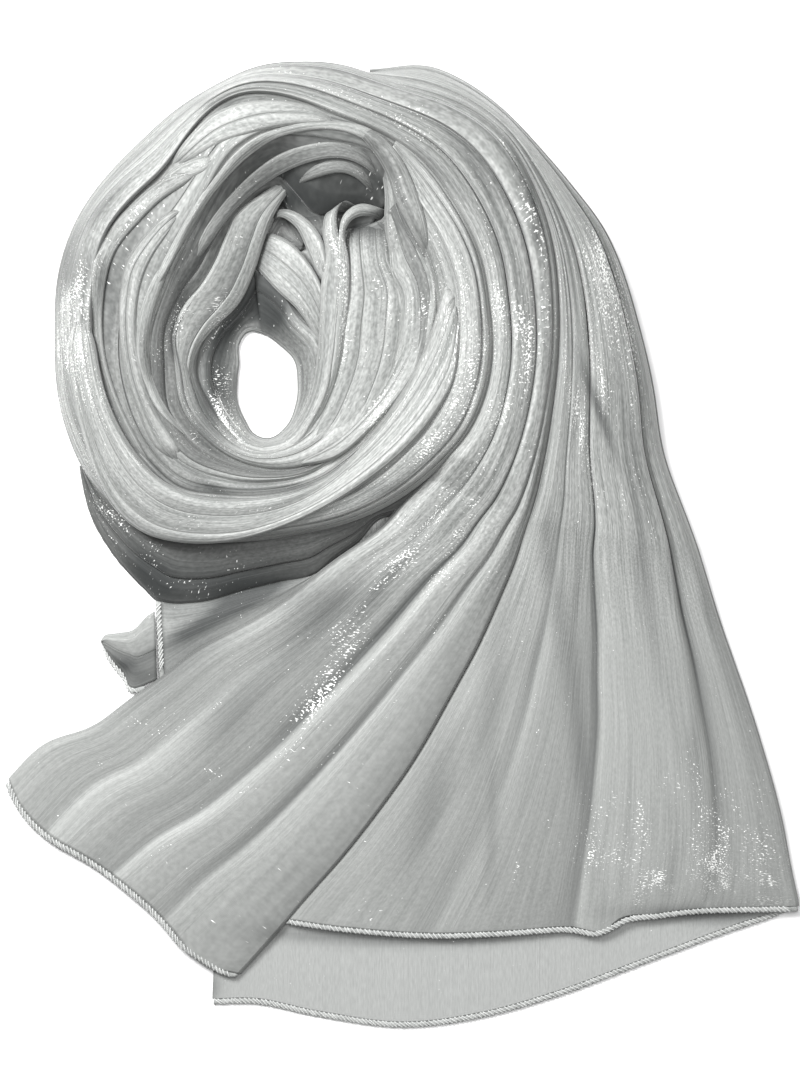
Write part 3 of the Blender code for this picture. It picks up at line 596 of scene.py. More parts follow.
def noise(tree, vector, repeats, detail, roughness):
    """Noise from 0 to 1 with its own number of repeats across and along."""
    stretched = add(tree, "ShaderNodeMapping", {"Scale": (*repeats, 1)}, {"Vector": vector})
    node = add(tree, "ShaderNodeTexNoise", {"Scale": 1.0, "Detail": detail, "Roughness": roughness},
               {"Vector": stretched.outputs["Vector"]})
    return node.outputs["Fac"]


def stretch_range(tree, value, low, high, to_low=0.0, to_high=1.0):
    node = add(tree, "ShaderNodeMapRange", {1: low, 2: high, 3: to_low, 4: to_high}, {0: value})
    return node.outputs["Result"]


def maths(tree, operation, first, second):
    """Two values worked together; a plain number goes in as the socket's own value."""
    node = tree.nodes.new("ShaderNodeMath")
    node.operation = operation
    for socket, value in zip(node.inputs, (first, second)):
        if isinstance(value, (int, float)):
            socket.default_value = value
        else:
            tree.links.new(value, socket)
    return node.outputs["Value"]


def weighted(tree, first, first_share, second, second_share):
    """The sum of two values, each times its share."""
    parts = maths(tree, "MULTIPLY", first, first_share), maths(tree, "MULTIPLY", second, second_share)
    return maths(tree, "ADD", *parts)


def colour_mix(tree, share, first, second):
    """A colour between two others, each a plain colour or another node's output."""
    node = add(tree, "ShaderNodeMix", data_type="RGBA")
    for socket, value in ((0, share), (6, first), (7, second)):  # its factor and its two colours
        if isinstance(value, tuple):
            node.inputs[socket].default_value = (*value, 1)
        else:
            tree.links.new(value, node.inputs[socket])
    return node.outputs[2]

# %% Crinkle: streaks along the cloth
# Columns: repeats to a metre across and along the cloth, and their share in the whole.
STREAKS = ((120, 5, 0.22), (460, 8, 0.42), (1050, 14, 0.36))
STREAK_RANGE = (0.38, 0.62)  # the noise between these levels becomes 0 to 1


def crinkle_group():
    """Streaks of three sizes, added together."""
    tree, given, made = node_group(
        "crinkle streaks", [("Cloth UV", "NodeSocketVector", None)],
        [("Streak", "NodeSocketFloat"), ("Height", "NodeSocketFloat")],
    )
    total = None
    for across, along, share in STREAKS:
        streak = noise(tree, given.outputs["Cloth UV"], (across, along), detail=1.5, roughness=0.6)
        part = maths(tree, "MULTIPLY", streak, share)
        total = part if total is None else maths(tree, "ADD", total, part)
    tree.links.new(stretch_range(tree, total, *STREAK_RANGE), made.inputs["Streak"])
    tree.links.new(total, made.inputs["Height"])
    return tree

# %% Weave: fine threads both ways
THREAD_SCALE, THREAD_WAVER = 420.0, 1.5  # how fine the threads are, and how far they waver


def thread_group():
    tree, given, made = node_group(
        "chiffon threads", [("Cloth UV", "NodeSocketVector", None)], [("Height", "NodeSocketFloat")]
    )
    warp, weft = [
        add(tree, "ShaderNodeTexWave", {"Scale": THREAD_SCALE, "Distortion": THREAD_WAVER, "Detail": 1.0},
            {"Vector": given.outputs["Cloth UV"]}, bands_direction=axis).outputs["Fac"]
        for axis in "XY"
    ]
    tree.links.new(maths(tree, "MAXIMUM", warp, weft), made.inputs["Height"])
    return tree

# %% Glitter: the flat metallic thread
DASHES, CLUMPS, GRAIN = (820, 560), (130, 24), (1150, 210)  # repeats to a metre, across and along
DASH_SHARE, CLUMP_SHARE = 0.62, 0.38
BARE_LEVEL, BARED_BY_AMOUNT = 0.69, 0.12  # the level a dash has to pass, and how far Amount lowers it
DASH_EDGE = 0.05  # a dash grows from nothing to full over this much of the level


def glitter_group():
    tree, given, made = node_group(
        "metallic thread", [("Cloth UV", "NodeSocketVector", None), ("Amount", "NodeSocketFloat", 0.5)],
        [("Mask", "NodeSocketFloat"), ("Grain", "NodeSocketFloat")],
    )
    uv = given.outputs["Cloth UV"]
    dashes = noise(tree, uv, DASHES, detail=1.0, roughness=0.7)
    clumps = noise(tree, uv, CLUMPS, detail=2.0, roughness=0.6)
    bared = maths(tree, "MULTIPLY", given.outputs["Amount"], BARED_BY_AMOUNT)
    threshold = maths(tree, "SUBTRACT", BARE_LEVEL, bared)
    level = weighted(tree, dashes, DASH_SHARE, clumps, CLUMP_SHARE)
    over = maths(tree, "SUBTRACT", level, threshold)
    tree.links.new(stretch_range(tree, over, 0.0, DASH_EDGE), made.inputs["Mask"])
    tree.links.new(noise(tree, uv, GRAIN, detail=1.0, roughness=0.7), made.inputs["Grain"])
    return tree


CRINKLE, THREADS, GLITTER = crinkle_group(), thread_group(), glitter_group()
print("node groups:", [g.name for g in (CRINKLE, THREADS, GLITTER)])

# %% [markdown]
# ## The chiffon finish
#
# Silver chiffon is a soft grey that the streaks and a fine grain lighten and darken a little. Its
# metallic thread shows as white dashes, so glitter raises the colour and lowers the roughness; in the
# gleaming patches the dashes are dense, as painted highlight. Creases and shaded pools are painted
# shade: there the colour is mixed to nearly black. Each ribbon's tone lightens it where lit and darkens
# it where shaded, as painted light and shade. The tails lie open and calm, so there the streaks, the
# grain and the glitter are fainter. A little sheen gives the soft rim of a fine weave.

# %% Colours and strengths of the silver finish
SILVER = ((0.19, 0.198, 0.191), (0.40, 0.408, 0.398))  # colours between and on the streaks
SMOOTH_SILVER = ((0.285, 0.293, 0.286), (0.345, 0.352, 0.345))
# The first colour is the near black that painted shade mixes the cloth towards; the second is the white of
# the metallic thread, which the painted highlight patches also use.
PAINTED_SHADE_COLOUR, METAL_AND_GLINT_COLOUR = (0.03, 0.033, 0.033), (0.93, 0.94, 0.92)
# How strong the painted shade is in a full crease and in a full pool.
CREASE_SHADE, POOL_SHADE = 0.85, 0.92  # how dark a full crease and a full pool are
GLITTER_FLOOR, CALM_GLITTER = 0.35, 0.25  # glitter outside the patches, and the share of it on the tails
# The noise between these levels swings the tone by this much each way, and by this share of it on the
# tails.
GRAIN_RANGE, GRAIN_SWING, CALM_GRAIN = (0.32, 0.68), 0.22, 0.35
CALM_STREAKS = (0.34, 0.62)  # on the tails the streaks run between these, not from 0 to 1
CLOTH_ROUGH, METAL_ROUGH = 0.56, 0.28
WEAVE_RELIEF, METAL_RELIEF = 0.05, 0.12  # heights beside the crinkle's own, which is 1
RELIEF = {"Strength": 0.55, "Distance": 0.0012}  # the distance is in m
SHADER_VALUES = {"Metallic": 0.2, "Specular IOR Level": 0.35, "Sheen Weight": 0.3, "Sheen Roughness": 0.4}


# %% Silver chiffon, part by part
def stored_value(tree, name):
    return add(tree, "ShaderNodeAttribute", attribute_name=name).outputs["Fac"]


def effect(tree, group, uv, **amounts):
    """A shared effect placed in a material; amounts are the links into its other inputs."""
    return add(tree, "ShaderNodeGroup", (), {"Cloth UV": uv, **amounts}, node_tree=group).outputs


def streaked_colour(tree, crinkle, grain, calm, dark, light):
    """The grey of the cloth: streaks, a fine grain, and the painted light and shade of each ribbon."""
    faint = stretch_range(tree, crinkle["Streak"], 0.0, 1.0, *CALM_STREAKS)
    streak = add(tree, "ShaderNodeMix", (), {0: calm, 2: crinkle["Streak"], 3: faint}, data_type="FLOAT")
    base = colour_mix(tree, streak.outputs[0], dark, light)
    swing = stretch_range(tree, grain, *GRAIN_RANGE, -GRAIN_SWING, GRAIN_SWING)
    speckle = maths(tree, "MULTIPLY", swing, stretch_range(tree, calm, 0.0, 1.0, 1.0, CALM_GRAIN))
    # Each ribbon's painted light and shade scales the colour, together with the grain.
    shading_tone, speckled = [maths(tree, "ADD", value, 1.0) for value in (stored_value(tree, "shading_tone"), speckle)]
    factor = maths(tree, "MULTIPLY", shading_tone, speckled)
    return add(tree, "ShaderNodeVectorMath", (), {0: base, "Scale": factor}, operation="SCALE").outputs[0]


def silver_chiffon(name, colours, glitter_floor=GLITTER_FLOOR, by_cloth=True):
    """Silver chiffon that reads the cloth's UV map, or without by_cloth the piece's own coordinates."""
    material = bpy.data.materials.new(name)
    material.use_nodes = True
    tree = material.node_tree
    shader = tree.nodes["Principled BSDF"]
    if by_cloth:
        uv = add(tree, "ShaderNodeUVMap", uv_map="cloth").outputs["UV"]
    else:
        uv = add(tree, "ShaderNodeTexCoord").outputs["Object"]
    calm = stored_value(tree, "calm")
    everywhere = stretch_range(tree, calm, 0.0, 1.0, glitter_floor, glitter_floor * CALM_GLITTER)
    # The painted highlight patches add to the glitter that is everywhere.
    glitter_and_painted_glint = maths(tree, "ADD", stored_value(tree, "painted_gleam"), everywhere)
    crinkle, threads = effect(tree, CRINKLE, uv), effect(tree, THREADS, uv)
    glitter = effect(tree, GLITTER, uv, Amount=glitter_and_painted_glint)
    cloth = streaked_colour(tree, crinkle, glitter["Grain"], calm, *colours)
    # Painted shade: creases and pools mix the colour towards near black.
    crease = maths(tree, "MULTIPLY", stored_value(tree, "painted_crease_shade"), CREASE_SHADE)
    pool = maths(tree, "MULTIPLY", stored_value(tree, "painted_shade"), POOL_SHADE)
    shaded = colour_mix(tree, maths(tree, "MAXIMUM", crease, pool), cloth, PAINTED_SHADE_COLOUR)
    # White dashes: the metallic thread's own colour, made dense as painted glints in the gleaming patches.
    tree.links.new(colour_mix(tree, glitter["Mask"], shaded, METAL_AND_GLINT_COLOUR), shader.inputs["Base Color"])
    rough = stretch_range(tree, glitter["Mask"], 0.0, 1.0, CLOTH_ROUGH, METAL_ROUGH)
    tree.links.new(rough, shader.inputs["Roughness"])
    for socket, value in SHADER_VALUES.items():
        shader.inputs[socket].default_value = value
    relief = weighted(tree, threads["Height"], WEAVE_RELIEF, glitter["Mask"], METAL_RELIEF)
    height = maths(tree, "ADD", crinkle["Height"], relief)
    bump = add(tree, "ShaderNodeBump", RELIEF, {"Height": height})
    tree.links.new(bump.outputs["Normal"], shader.inputs["Normal"])
    return material


CHIFFON = silver_chiffon("silver chiffon", SILVER)
SMOOTH_CHIFFON = silver_chiffon("smooth chiffon", SMOOTH_SILVER, glitter_floor=0.0)
UNSEEN_CHIFFON = silver_chiffon("unseen chiffon", SILVER, by_cloth=False)
print("finishes:", [finish.name for finish in (CHIFFON, SMOOTH_CHIFFON, UNSEEN_CHIFFON)])

# %% [markdown]
# ## The long wrap: main band, outer turn and front tail
#
# One stretch of cloth starts at the top of the ring, goes round its right side, bottom and left, over the
# top again, and leaves the ring as the front tail. It could be made as three sheets, one for each solid of
# the frame, but its ribbons would break where they meet. So it is charted from end to end as one sheet,
# which stands for all three solids. Where it fans out, its flanks widen into soft drape.

# %% Stations of the wrap and of its tails
# A station is a bearing round the ring, and past WRAP_LEAVES it goes on along the tail.
WRAP_BEGINS, WRAP_LEAVES, WRAP_ENDS = 63.0, -385.0, -517.0
PLACE = (WRAP_LEAVES - WRAP_ENDS) / (len(FRONT_EDGE) - 1)  # stations for each row of a tail's edge


def ring(line, turns=0):
    return lambda stations: ring_points(line, stations + 360 * turns)


def tail(line, rows=None):
    """The tail's edge, read so that its given number of rows fills the stations after the ring."""
    share = 1.0 if rows is None else rows / (len(line) - 1)
    return lambda stations: tail_points(line, (WRAP_LEAVES - stations) / PLACE * share)


def blended(first, second, weights):
    """An edge finish that goes over from one table to another along the sheet."""
    a, b, w = np.array(first, float), np.array(second, float), np.asarray(weights)[:, None, None]
    return a * (1 - w) + b * w


# %% Chart of the wrap's folds
WRAP_FOLDS = (
    ("ridge", 0, -.03, (
        (63, .20, 2), (37, .25, 11), (-22, .3, 13), (-60, .25, 13), (-107, .2, 14), (-150, .25, 17),
        (-197, .45, 20), (-230, .45, 20), (-250, .3, 20), (-267, .2, 18), (-287, .14, 14),
        (-320, .14, 6), (-338, .14, 5), (-360, .14, 6), (-385, .14, 9), (-425, .10, 10), (-464, .08, 6),
        (-517, .08, 2))),
    ("crease", (
        (63, .4, 0), (37, .42, .3), (-22, .5, .2), (-60, .5, .3), (-107, .45, .5), (-150, .5, .4),
        (-197, .62, .5), (-230, .6, .6), (-250, .45, 1.5), (-267, .36, 2.5), (-287, .30, 2.5),
        (-320, .28, 1), (-360, .30, 1), (-385, .32, .6), (-425, .24, .2), (-464, .2, .2),
        (-517, .2, .1))),
    ("ridge", -2, .05, (
        (63, .6, 2), (37, .6, 11), (-22, .65, 13), (-107, .6, 14), (-150, .65, 15), (-197, .75, 14),
        (-230, .72, 14), (-250, .6, 18), (-267, .48, 20), (-287, .42, 18), (-320, .42, 15),
        (-338, .44, 15), (-385, .48, 14), (-425, .38, 9), (-464, .34, 6), (-490, .33, 4),
        (-517, .3, 2.5))),
    ("crease", (
        (63, .75, 0), (37, .80, .3), (-22, .84, 1.5), (-60, .85, 1), (-107, .8, .6), (-150, .8, .4),
        (-197, .86, .3), (-230, .84, .3), (-250, .75, 1), (-267, .62, 2), (-287, .58, 5),
        (-320, .61, 9), (-338, .64, 11), (-360, .66, 8), (-385, .64, 5), (-425, .56, 2), (-464, .53, 1),
        (-490, .5, .5), (-517, .46, .3))),
    ("ridge", -1, 0, (
        (63, .85, 1.6), (37, .88, 7), (-22, .90, 8), (-107, .88, 9), (-150, .88, 11), (-197, .92, 9),
        (-250, .86, 14), (-267, .78, 15), (-287, .76, 15), (-320, .78, 14), (-338, .80, 14),
        (-385, .76, 13), (-425, .66, 14), (-464, .61, 10), (-490, .58, 6.5), (-517, .56, 3.5))),
    ("crease", (
        (63, .93, .5), (37, .94, .5), (-22, .95, 1), (-107, .94, .5), (-150, .94, .5), (-197, .96, .3),
        (-250, .93, 1), (-287, .9, 1), (-338, .9, 2), (-385, .86, 2), (-425, .78, 2), (-464, .72, 2),
        (-490, .7, 1.2), (-517, .68, .4))),
    ("ridge", -1, -.06, (
        (63, .97, .8), (37, .97, 3), (-22, .975, 3), (-107, .97, 3.5), (-150, .97, 5), (-197, .98, 5),
        (-250, .97, 7), (-295, .96, 7), (-338, .95, 8), (-385, .93, 10), (-425, .88, 12),
        (-464, .85, 11), (-517, .84, 4))),
)
# A hem's bulge out of the straight line between its corners. Columns: across, out.
FRONT_BULGE = ((0, 0), (.08, 9), (.2, 13), (.4, 6), (.6, 4), (.75, 8), (.88, 15), (.96, 6), (1, 0))
RIGHT_BULGE = (
    (0, 0), (.1, 8), (.3, 16), (.45, 14), (.56, 12), (.60, 16), (.62, 17), (.645, 7), (.72, 3), (.8, 0),
    (1, 0),
)
BULGE_REACH, BULGE_FADE = 60.0, 1.6  # how far up from the hem the bulge is felt, mm, and how fast it fades
BULGE_ROWS = 8  # the sheet's last rows show which way the hem is pushed
TAIL_SOFTNESS = ((375, 405, 450, 517), (0, 5, 17, 24))  # stations, turned to rise, and mm added to flanks


def bulged(grid, bulge):
    """Pushes a sheet's last rows outwards, so that its hem curves as the table says."""
    travel = grid[-1, :, :2] - grid[-BULGE_ROWS, :, :2]
    travel /= np.linalg.norm(travel, axis=1)[:, None]
    edge = grid[-1]
    width = travelled(edge[:, :2])
    out = smooth_columns(bulge, width / width[-1])[:, 0]
    away = np.linalg.norm(grid[:, :, :2] - edge[None, :, :2], axis=2)
    share = np.clip(1 - away / BULGE_REACH, 0, 1) ** BULGE_FADE
    grid = grid.copy()
    grid[:, :, :2] += travel[None] * (out[None, :] * share)[:, :, None]
    return grid


# %% The wrap's sheet
# Its inner edge runs by the arch, then along the main band, and a turn later along that band's outer side.
WRAP_CUT = (0.125, 1.85)
ALONG_BAND, ROUND_AGAIN = 56.5, -287
UNDER_FROM, UNDER_TO = -270, -402  # between these stations its inner edge is tucked under the main band
UNDER_GROWS, UNDER_FADES = 20, 24  # stations over which the tuck comes and goes
wrap_stations = np.linspace(WRAP_BEGINS, WRAP_ENDS, 640)
wrap_inner = joined(
    wrap_stations, (WRAP_BEGINS, ring(RIDGE, -1)), (ALONG_BAND, ring(BAND_INNER)),
    (ROUND_AGAIN, ring(BAND_OUTER, 1)), (WRAP_LEAVES, tail(FRONT_EDGE)),
)
wrap_outer = joined(wrap_stations, (WRAP_BEGINS, ring(BAND_OUTER)), (WRAP_LEAVES, tail(MIDDLE_EDGE)))
wrap_soft = np.interp(-wrap_stations, *TAIL_SOFTNESS)
wrap, wrap_shading_tones = folded_grid(eased(wrap_inner), eased(wrap_outer), wrap_stations, WRAP_FOLDS, wrap_soft)
wrap = bulged(wrap, FRONT_BULGE)
wrap = pleated(wrap, seed=3, count=70, depth=(0.2, 0.9), wide=(2.6, 5.5), long=(60, 200))
front_hem_line, front_before = wrap[-1].copy(), wrap[-4].copy()
grown = np.clip((UNDER_FROM - wrap_stations) / UNDER_GROWS, 0, 1)
left = np.clip((wrap_stations - UNDER_TO) / UNDER_FADES, 0, 1)
wrap = edge_finished(wrap, blended(TURNED, TUCKED, grown * left), TURNED)
sheet("long_wrap", wrap, wrap_shading_tones, CHIFFON, ["main_band", "outer_turn", "front_tail"], WRAP_CUT)

# %% [markdown]
# ## Side folds and the right tail
#
# The outermost ribbons on the right come over the top, and fan out as the right tail. Its side is folded
# under, so its right edge turns under itself all the way down. It is charted in the same way, as one sheet
# for two solids.

# %% Chart of the side folds and the right tail
SIDE_BEGINS = -287.0
OUTLINE_FIRST, OUTLINE_LAST = 73.0, -21.0  # bearings where its outer edge begins and leaves the ring
SIDE_FOLDS = (
    ("ridge", 0, 0, (
        (-287, .06, -3), (-295, .06, 3), (-310, .07, 8), (-338, .08, 14), (-362, .08, 14),
        (-385, .08, 12), (-440, .10, 9), (-480, .12, 7), (-517, .14, 2.5))),
    ("crease", (
        (-287, .14, 0), (-310, .14, 1), (-338, .16, 1.5), (-362, .17, 1.5), (-385, .18, 1.2),
        (-440, .22, .8), (-480, .26, .5), (-517, .30, .2))),
    ("ridge", -1, -.08, (
        (-287, .25, -3), (-295, .25, 3), (-310, .25, 10), (-338, .27, 18), (-362, .27, 16),
        (-385, .28, 13), (-440, .33, 11), (-480, .37, 7), (-517, .42, 3))),
    ("crease", (
        (-287, .4, 0), (-310, .37, 1), (-338, .38, 3), (-355, .37, 5), (-368, .36, 8), (-385, .38, 3),
        (-400, .38, 2), (-440, .44, 1.5), (-480, .5, .8), (-517, .56, .3))),
    ("ridge", -1, .06, (
        (-287, .6, -3), (-295, .6, 4), (-310, .6, 12), (-338, .6, 24), (-362, .6, 24), (-385, .6, 20),
        (-440, .62, 14), (-480, .66, 9), (-517, .7, 4))),
    ("crease", (
        (-287, .85, 0), (-310, .84, 1), (-338, .84, 1.5), (-362, .84, 1.5), (-385, .82, 1.2),
        (-440, .82, 1), (-480, .82, .6), (-517, .82, .2))),
    ("ridge", 0, -.1, (
        (-287, .94, -3), (-295, .93, 2), (-310, .93, 8), (-338, .93, 13), (-362, .93, 13),
        (-385, .93, 11), (-440, .93, 9), (-480, .93, 6), (-517, .93, 3))),
)
MIDDLE_ROWS = 9.6  # the right tail ends this far down the front tail's right edge


def outline(stations):
    share = (SIDE_BEGINS - stations) / (SIDE_BEGINS - WRAP_LEAVES)
    return ring_points(OUTLINE, OUTLINE_FIRST + (OUTLINE_LAST - OUTLINE_FIRST) * share)


# %% The side's sheet
SIDE_CUT = (0.2, 0.76)
SIDE_SOFTNESS = 0.6  # its flanks open this much of what the wrap's do
side_stations = np.linspace(SIDE_BEGINS, WRAP_ENDS, 300)
side_inner = joined(
    side_stations, (SIDE_BEGINS, ring(BAND_OUTER)), (WRAP_LEAVES, tail(MIDDLE_EDGE, MIDDLE_ROWS))
)
side_outer = joined(side_stations, (SIDE_BEGINS, outline), (WRAP_LEAVES, tail(RIGHT_EDGE)))
side_soft = np.interp(-side_stations, *TAIL_SOFTNESS) * SIDE_SOFTNESS
side, side_shading_tones = folded_grid(eased(side_inner), eased(side_outer), side_stations, SIDE_FOLDS, side_soft)
side = bulged(side, RIGHT_BULGE)
side = pleated(side, seed=5, count=60, depth=(0.2, 1.0), wide=(2.6, 5.5), long=(60, 220))
right_hem_line, right_before = side[-1].copy(), side[-4].copy()
side = edge_finished(side, TUCKED, TURNED)
sheet("side_wrap", side, side_shading_tones, CHIFFON, ["side_folds", "right_tail"], SIDE_CUT)

# %% [markdown]
# ## Collar, arch and valley
#
# Inside the band the cloth stands up round the hole: the rim goes down into it, the leaf folds lie over
# the rim, the arch stands behind them, and the shaded valley joins the arch to the main band. Each lies
# between two of the lines above, so each takes the same steps: chart, pleats, edges, sheet.

# %% Collar rim
RIM_FOLDS = (
    ("ridge", 0, -.1, (
        (94, .5, 3), (60, .5, 6), (0, .5, 6), (-90, .35, 7), (-180, .4, 2), (-230, .5, -3),
        (-262, .5, -4))),
    ("crease", (
        (94, .62, .5), (60, .62, .8), (0, .62, 1), (-90, .55, 1.2), (-180, .62, 1), (-230, .7, .5),
        (-262, .7, .3))),
    ("ridge", -1, 0, (
        (94, .8, 4), (60, .8, 7), (0, .82, 8), (-90, .78, 8), (-180, .8, 5), (-230, .85, 0),
        (-262, .85, -1))),
)
rim_stations = np.linspace(97, -269, 250)
rim, rim_shading_tones = folded_grid(
    ring_points(HOLE, rim_stations), ring_points(RIM_CREASE, rim_stations), rim_stations, RIM_FOLDS
)
rim = pleated(rim, seed=7, count=50, depth=(0.1, 0.45), wide=(1.5, 3.0), long=(40, 120))
rim = edge_finished(rim, TURNED, TUCKED)
sheet("collar_rim_cloth", rim, rim_shading_tones, CHIFFON, ["collar_rim"], (0.06, 0.3))

# %% Collar leaf
LEAF_FOLDS = (
    ("ridge", -1, 0, (
        (95, .15, -4), (60, .15, -3), (20, .14, 4), (-20, .16, 6), (-90, .16, 6), (-180, .2, 6),
        (-220, .25, 4), (-273, .4, -2))),
    ("crease", (
        (95, .28, .5), (60, .28, .5), (20, .28, 1), (-20, .3, 1.5), (-90, .33, 1.5), (-180, .4, 2),
        (-220, .45, 1), (-273, .5, .3))),
    ("ridge", -1, .06, (
        (95, .42, -4), (60, .42, -4), (20, .42, 4), (-20, .46, 6), (-90, .5, 6.5), (-180, .6, 7),
        (-220, .65, 4), (-273, .65, -3))),
    ("crease", (
        (95, .58, .5), (60, .58, .5), (20, .56, 1), (-20, .6, 1.5), (-90, .66, 2), (-180, .8, 2),
        (-220, .82, 1), (-273, .8, .3))),
    ("ridge", 0, 0, (
        (95, .75, -3), (60, .78, -3), (20, .80, 3), (-20, .80, 6), (-90, .84, 7), (-180, .9, 7),
        (-220, .91, 4), (-273, .9, -3))),
)
leaf_stations = np.linspace(95, -273, 260)
leaf_far = ring_points(LEAF_LINE, np.linspace(56, -271, 260))  # the far line begins further on
leaf, leaf_shading_tones = folded_grid(ring_points(RIM_CREASE, leaf_stations), leaf_far, leaf_stations, LEAF_FOLDS)
leaf = pleated(leaf, seed=9, count=60, depth=(0.1, 0.45), wide=(1.6, 3.4), long=(40, 160))
leaf = edge_finished(leaf, TURNED, TUCKED)
sheet("collar_leaf_cloth", leaf, leaf_shading_tones, CHIFFON, ["collar_leaf"], (0.078, 0.47))

# %% Hollow fold
# Its tone is painted shade, deep in the hollow.
HOLLOW_FOLDS = (("ridge", 0, -.4, ((-265.5, .5, 0.5), (-284, .5, 1))),)
HOLLOW_DROP = 4  # the cloth lies this much under its fold lines here, mm
hollow_stations = np.linspace(-265.5, -284, 30)
hollow, hollow_shading_tones = folded_grid(
    ring_points(HOLLOW_INNER, hollow_stations), ring_points(HOLLOW_OUTER, hollow_stations), hollow_stations,
    HOLLOW_FOLDS,
)
hollow[:, :, 2] -= HOLLOW_DROP
hollow = edge_finished(hollow, TUCKED, TUCKED)
sheet("hollow_fold_cloth", hollow, hollow_shading_tones, CHIFFON, ["hollow_fold"], (0.045, 0.05))

# %% [markdown]
# ## Ribbons out of the hollow
#
# At the top of the hole the inner folds come up out of a dark hollow, curl over and run down to the
# rim. Each is a narrow ribbon of its own, which lies over the last one, so each is its own sheet. Its
# table gives its two edges from the ring's middle.

# %% Tables of the ribbons
# Columns: left x, left y, left height, right x, right y, right height.
LEAF = (
    (30, 174, 2, 20, 178, 4),
    (17, 157, 14, 8, 161, 18),
    (4, 135, 26, -22, 138, 34),
    (-4, 114, 26, -32, 118, 37),
    (-10, 95, 25, -40, 98, 38),
    (-19, 73, 24, -52, 78, 38),
    (-28, 60, 24, -65, 63, 37),
    (-43, 46, 25, -72, 47, 36),
    (-56, 29, 26, -73, 28, 35),
    (-61, 10, 25, -72, 7, 33),
    (-58, -12, 22, -68, -17, 30),
    (-45, -32, 18, -52, -39, 26),
)
LOWER_TIP = (
    (-12, 98, 14, -5, 119, 12),
    (-4, 89, 21, 4, 119, 22),
    (9, 75, 25, 19, 111, 27),
    (23, 62, 26, 31, 98, 30),
    (33, 48, 25, 41, 81, 31),
    (41, 32, 23, 49, 56, 29),
    (43, 12, 19, 52, 28, 24),
)
THIN_CURL = (
    (3, 132, 14, 5, 138, 16),
    (12, 134, 27, 16, 138, 29),
    (24, 125, 31, 28, 132, 33),
    (32, 108, 33, 39, 121, 35),
    (39, 90, 34, 46, 106, 36),
    (44, 74, 32, 51, 87, 34),
)
SHADED_TONGUE = (
    (19, 132, 12, 49, 138, 12),
    (28, 127, 20, 49, 132, 20),
    (35, 116, 25, 49, 122, 27),
    (43, 102, 27, 51, 108, 30),
)
NARROW_STRIP = (
    (62, 138, 16, 70, 142, 20),
    (53, 139, 28, 60, 145, 31),
    (47, 134, 33, 54, 135, 36),
    (45, 120, 35, 55, 119, 38),
    (47, 104, 36, 60, 98, 39),
    (44, 80, 35, 58, 74, 38),
    (43, 52, 34, 55, 49, 37),
    (41, 22, 32, 52, 22, 35),
    (37, -3, 29, 47, -5, 33),
    (28, -26, 26, 36, -28, 30),
    (14, -42, 23, 22, -47, 27),
    (-5, -47, 20, -4, -54, 24),
    (-23, -41, 17, -26, -47, 20),
)
HOOK = (
    (92, 130, 16, 96, 136, 20),
    (83, 134, 30, 89, 139, 33),
    (73, 134, 36, 75, 142, 38),
    (65, 129, 38, 64, 137, 40),
    (61, 118, 38, 58, 126, 40),
    (64, 98, 38, 57, 102, 40),
    (64, 72, 37, 57, 73, 39),
    (61, 44, 35, 54, 46, 37),
    (58, 20, 33, 52, 22, 35),
    (52, -4, 30, 46, -3, 32),
    (40, -28, 27, 36, -26, 29),
    (25, -49, 24, 22, -44, 26),
    (1, -57, 21, 1, -51, 22),
)
WIDE_BAND = (
    (65, 124, 24, 94, 127, 22),
    (64, 113, 30, 95, 116, 30),
    (65, 96, 33, 97, 97, 32),
    (64, 72, 32, 107, 76, 29),
    (61, 47, 32, 107, 54, 29),
    (59, 22, 31, 104, 28, 28),
    (52, -3, 29, 96, 1, 27),
    (40, -30, 27, 81, -28, 27),
    (24, -50, 25, 56, -50, 27),
    (-2, -58, 22, 17, -65, 26),
    (-24, -52, 18, -23, -62, 24),
)
INNER_CHEEK = (
    (90, 178, 28, 97, 182, 30),
    (94, 152, 36, 107, 159, 46),
    (94, 128, 34, 115, 137, 44),
    (98, 104, 32, 126, 112, 42),
    (108, 76, 31, 133, 76, 40),
    (108, 48, 30, 132, 50, 39),
    (103, 24, 29, 124, 22, 37),
    (94, 3, 28, 110, -1, 36),
    (78, -20, 27, 92, -23, 35),
    (52, -44, 27, 62, -52, 34),
    (25, -57, 27, 29, -68, 32),
)

# %% Ribbons
ROWS_EACH = 14  # sections made for each row of a ribbon's table
RIBBON_CREASE = 0.9  # depth of the creases along a ribbon, mm
TAPER_LENGTH, TAPER_LEAST = 24.0, 0.12  # its end narrows over this length in mm, to this share of its width
# Painted shade: a ribbon is darkened where it comes out of the hollow.
HOLLOW_SHADE, HOLLOW_REACH = 0.9, 26.0  # ribbons are dark where they come out of the hollow, this far in mm


def tapered(first, second, begins=True):
    """Two edges drawn together, so that a ribbon runs out to a point where it ends, or begins too."""
    gone = travelled(first)
    to_end = gone[-1] - gone
    if begins:
        to_end = np.minimum(gone, to_end)
    share = np.clip(to_end / TAPER_LENGTH, 0, 1)
    width = (TAPER_LEAST + (1 - TAPER_LEAST) * np.sin(math.pi / 2 * share))[:, None]
    middle = (first + second) / 2
    return middle + (first - middle) * width, middle + (second - middle) * width


def ribbon_folds(places, rises, creases, shading_tone):
    """The fold chart of a ribbon that rises by rises at places, with creases at these shares across it."""
    folds, begin = [], 0.0
    for across in (*creases, 1.0):
        middle = (begin + across) / 2
        folds.append(("ridge", 0, shading_tone, [(place, middle, rise) for place, rise in zip(places, rises)]))
        if across < 1:
            folds.append(("crease", [(place, across, RIBBON_CREASE) for place in (places[0], places[-1])]))
        begin = across
    return folds


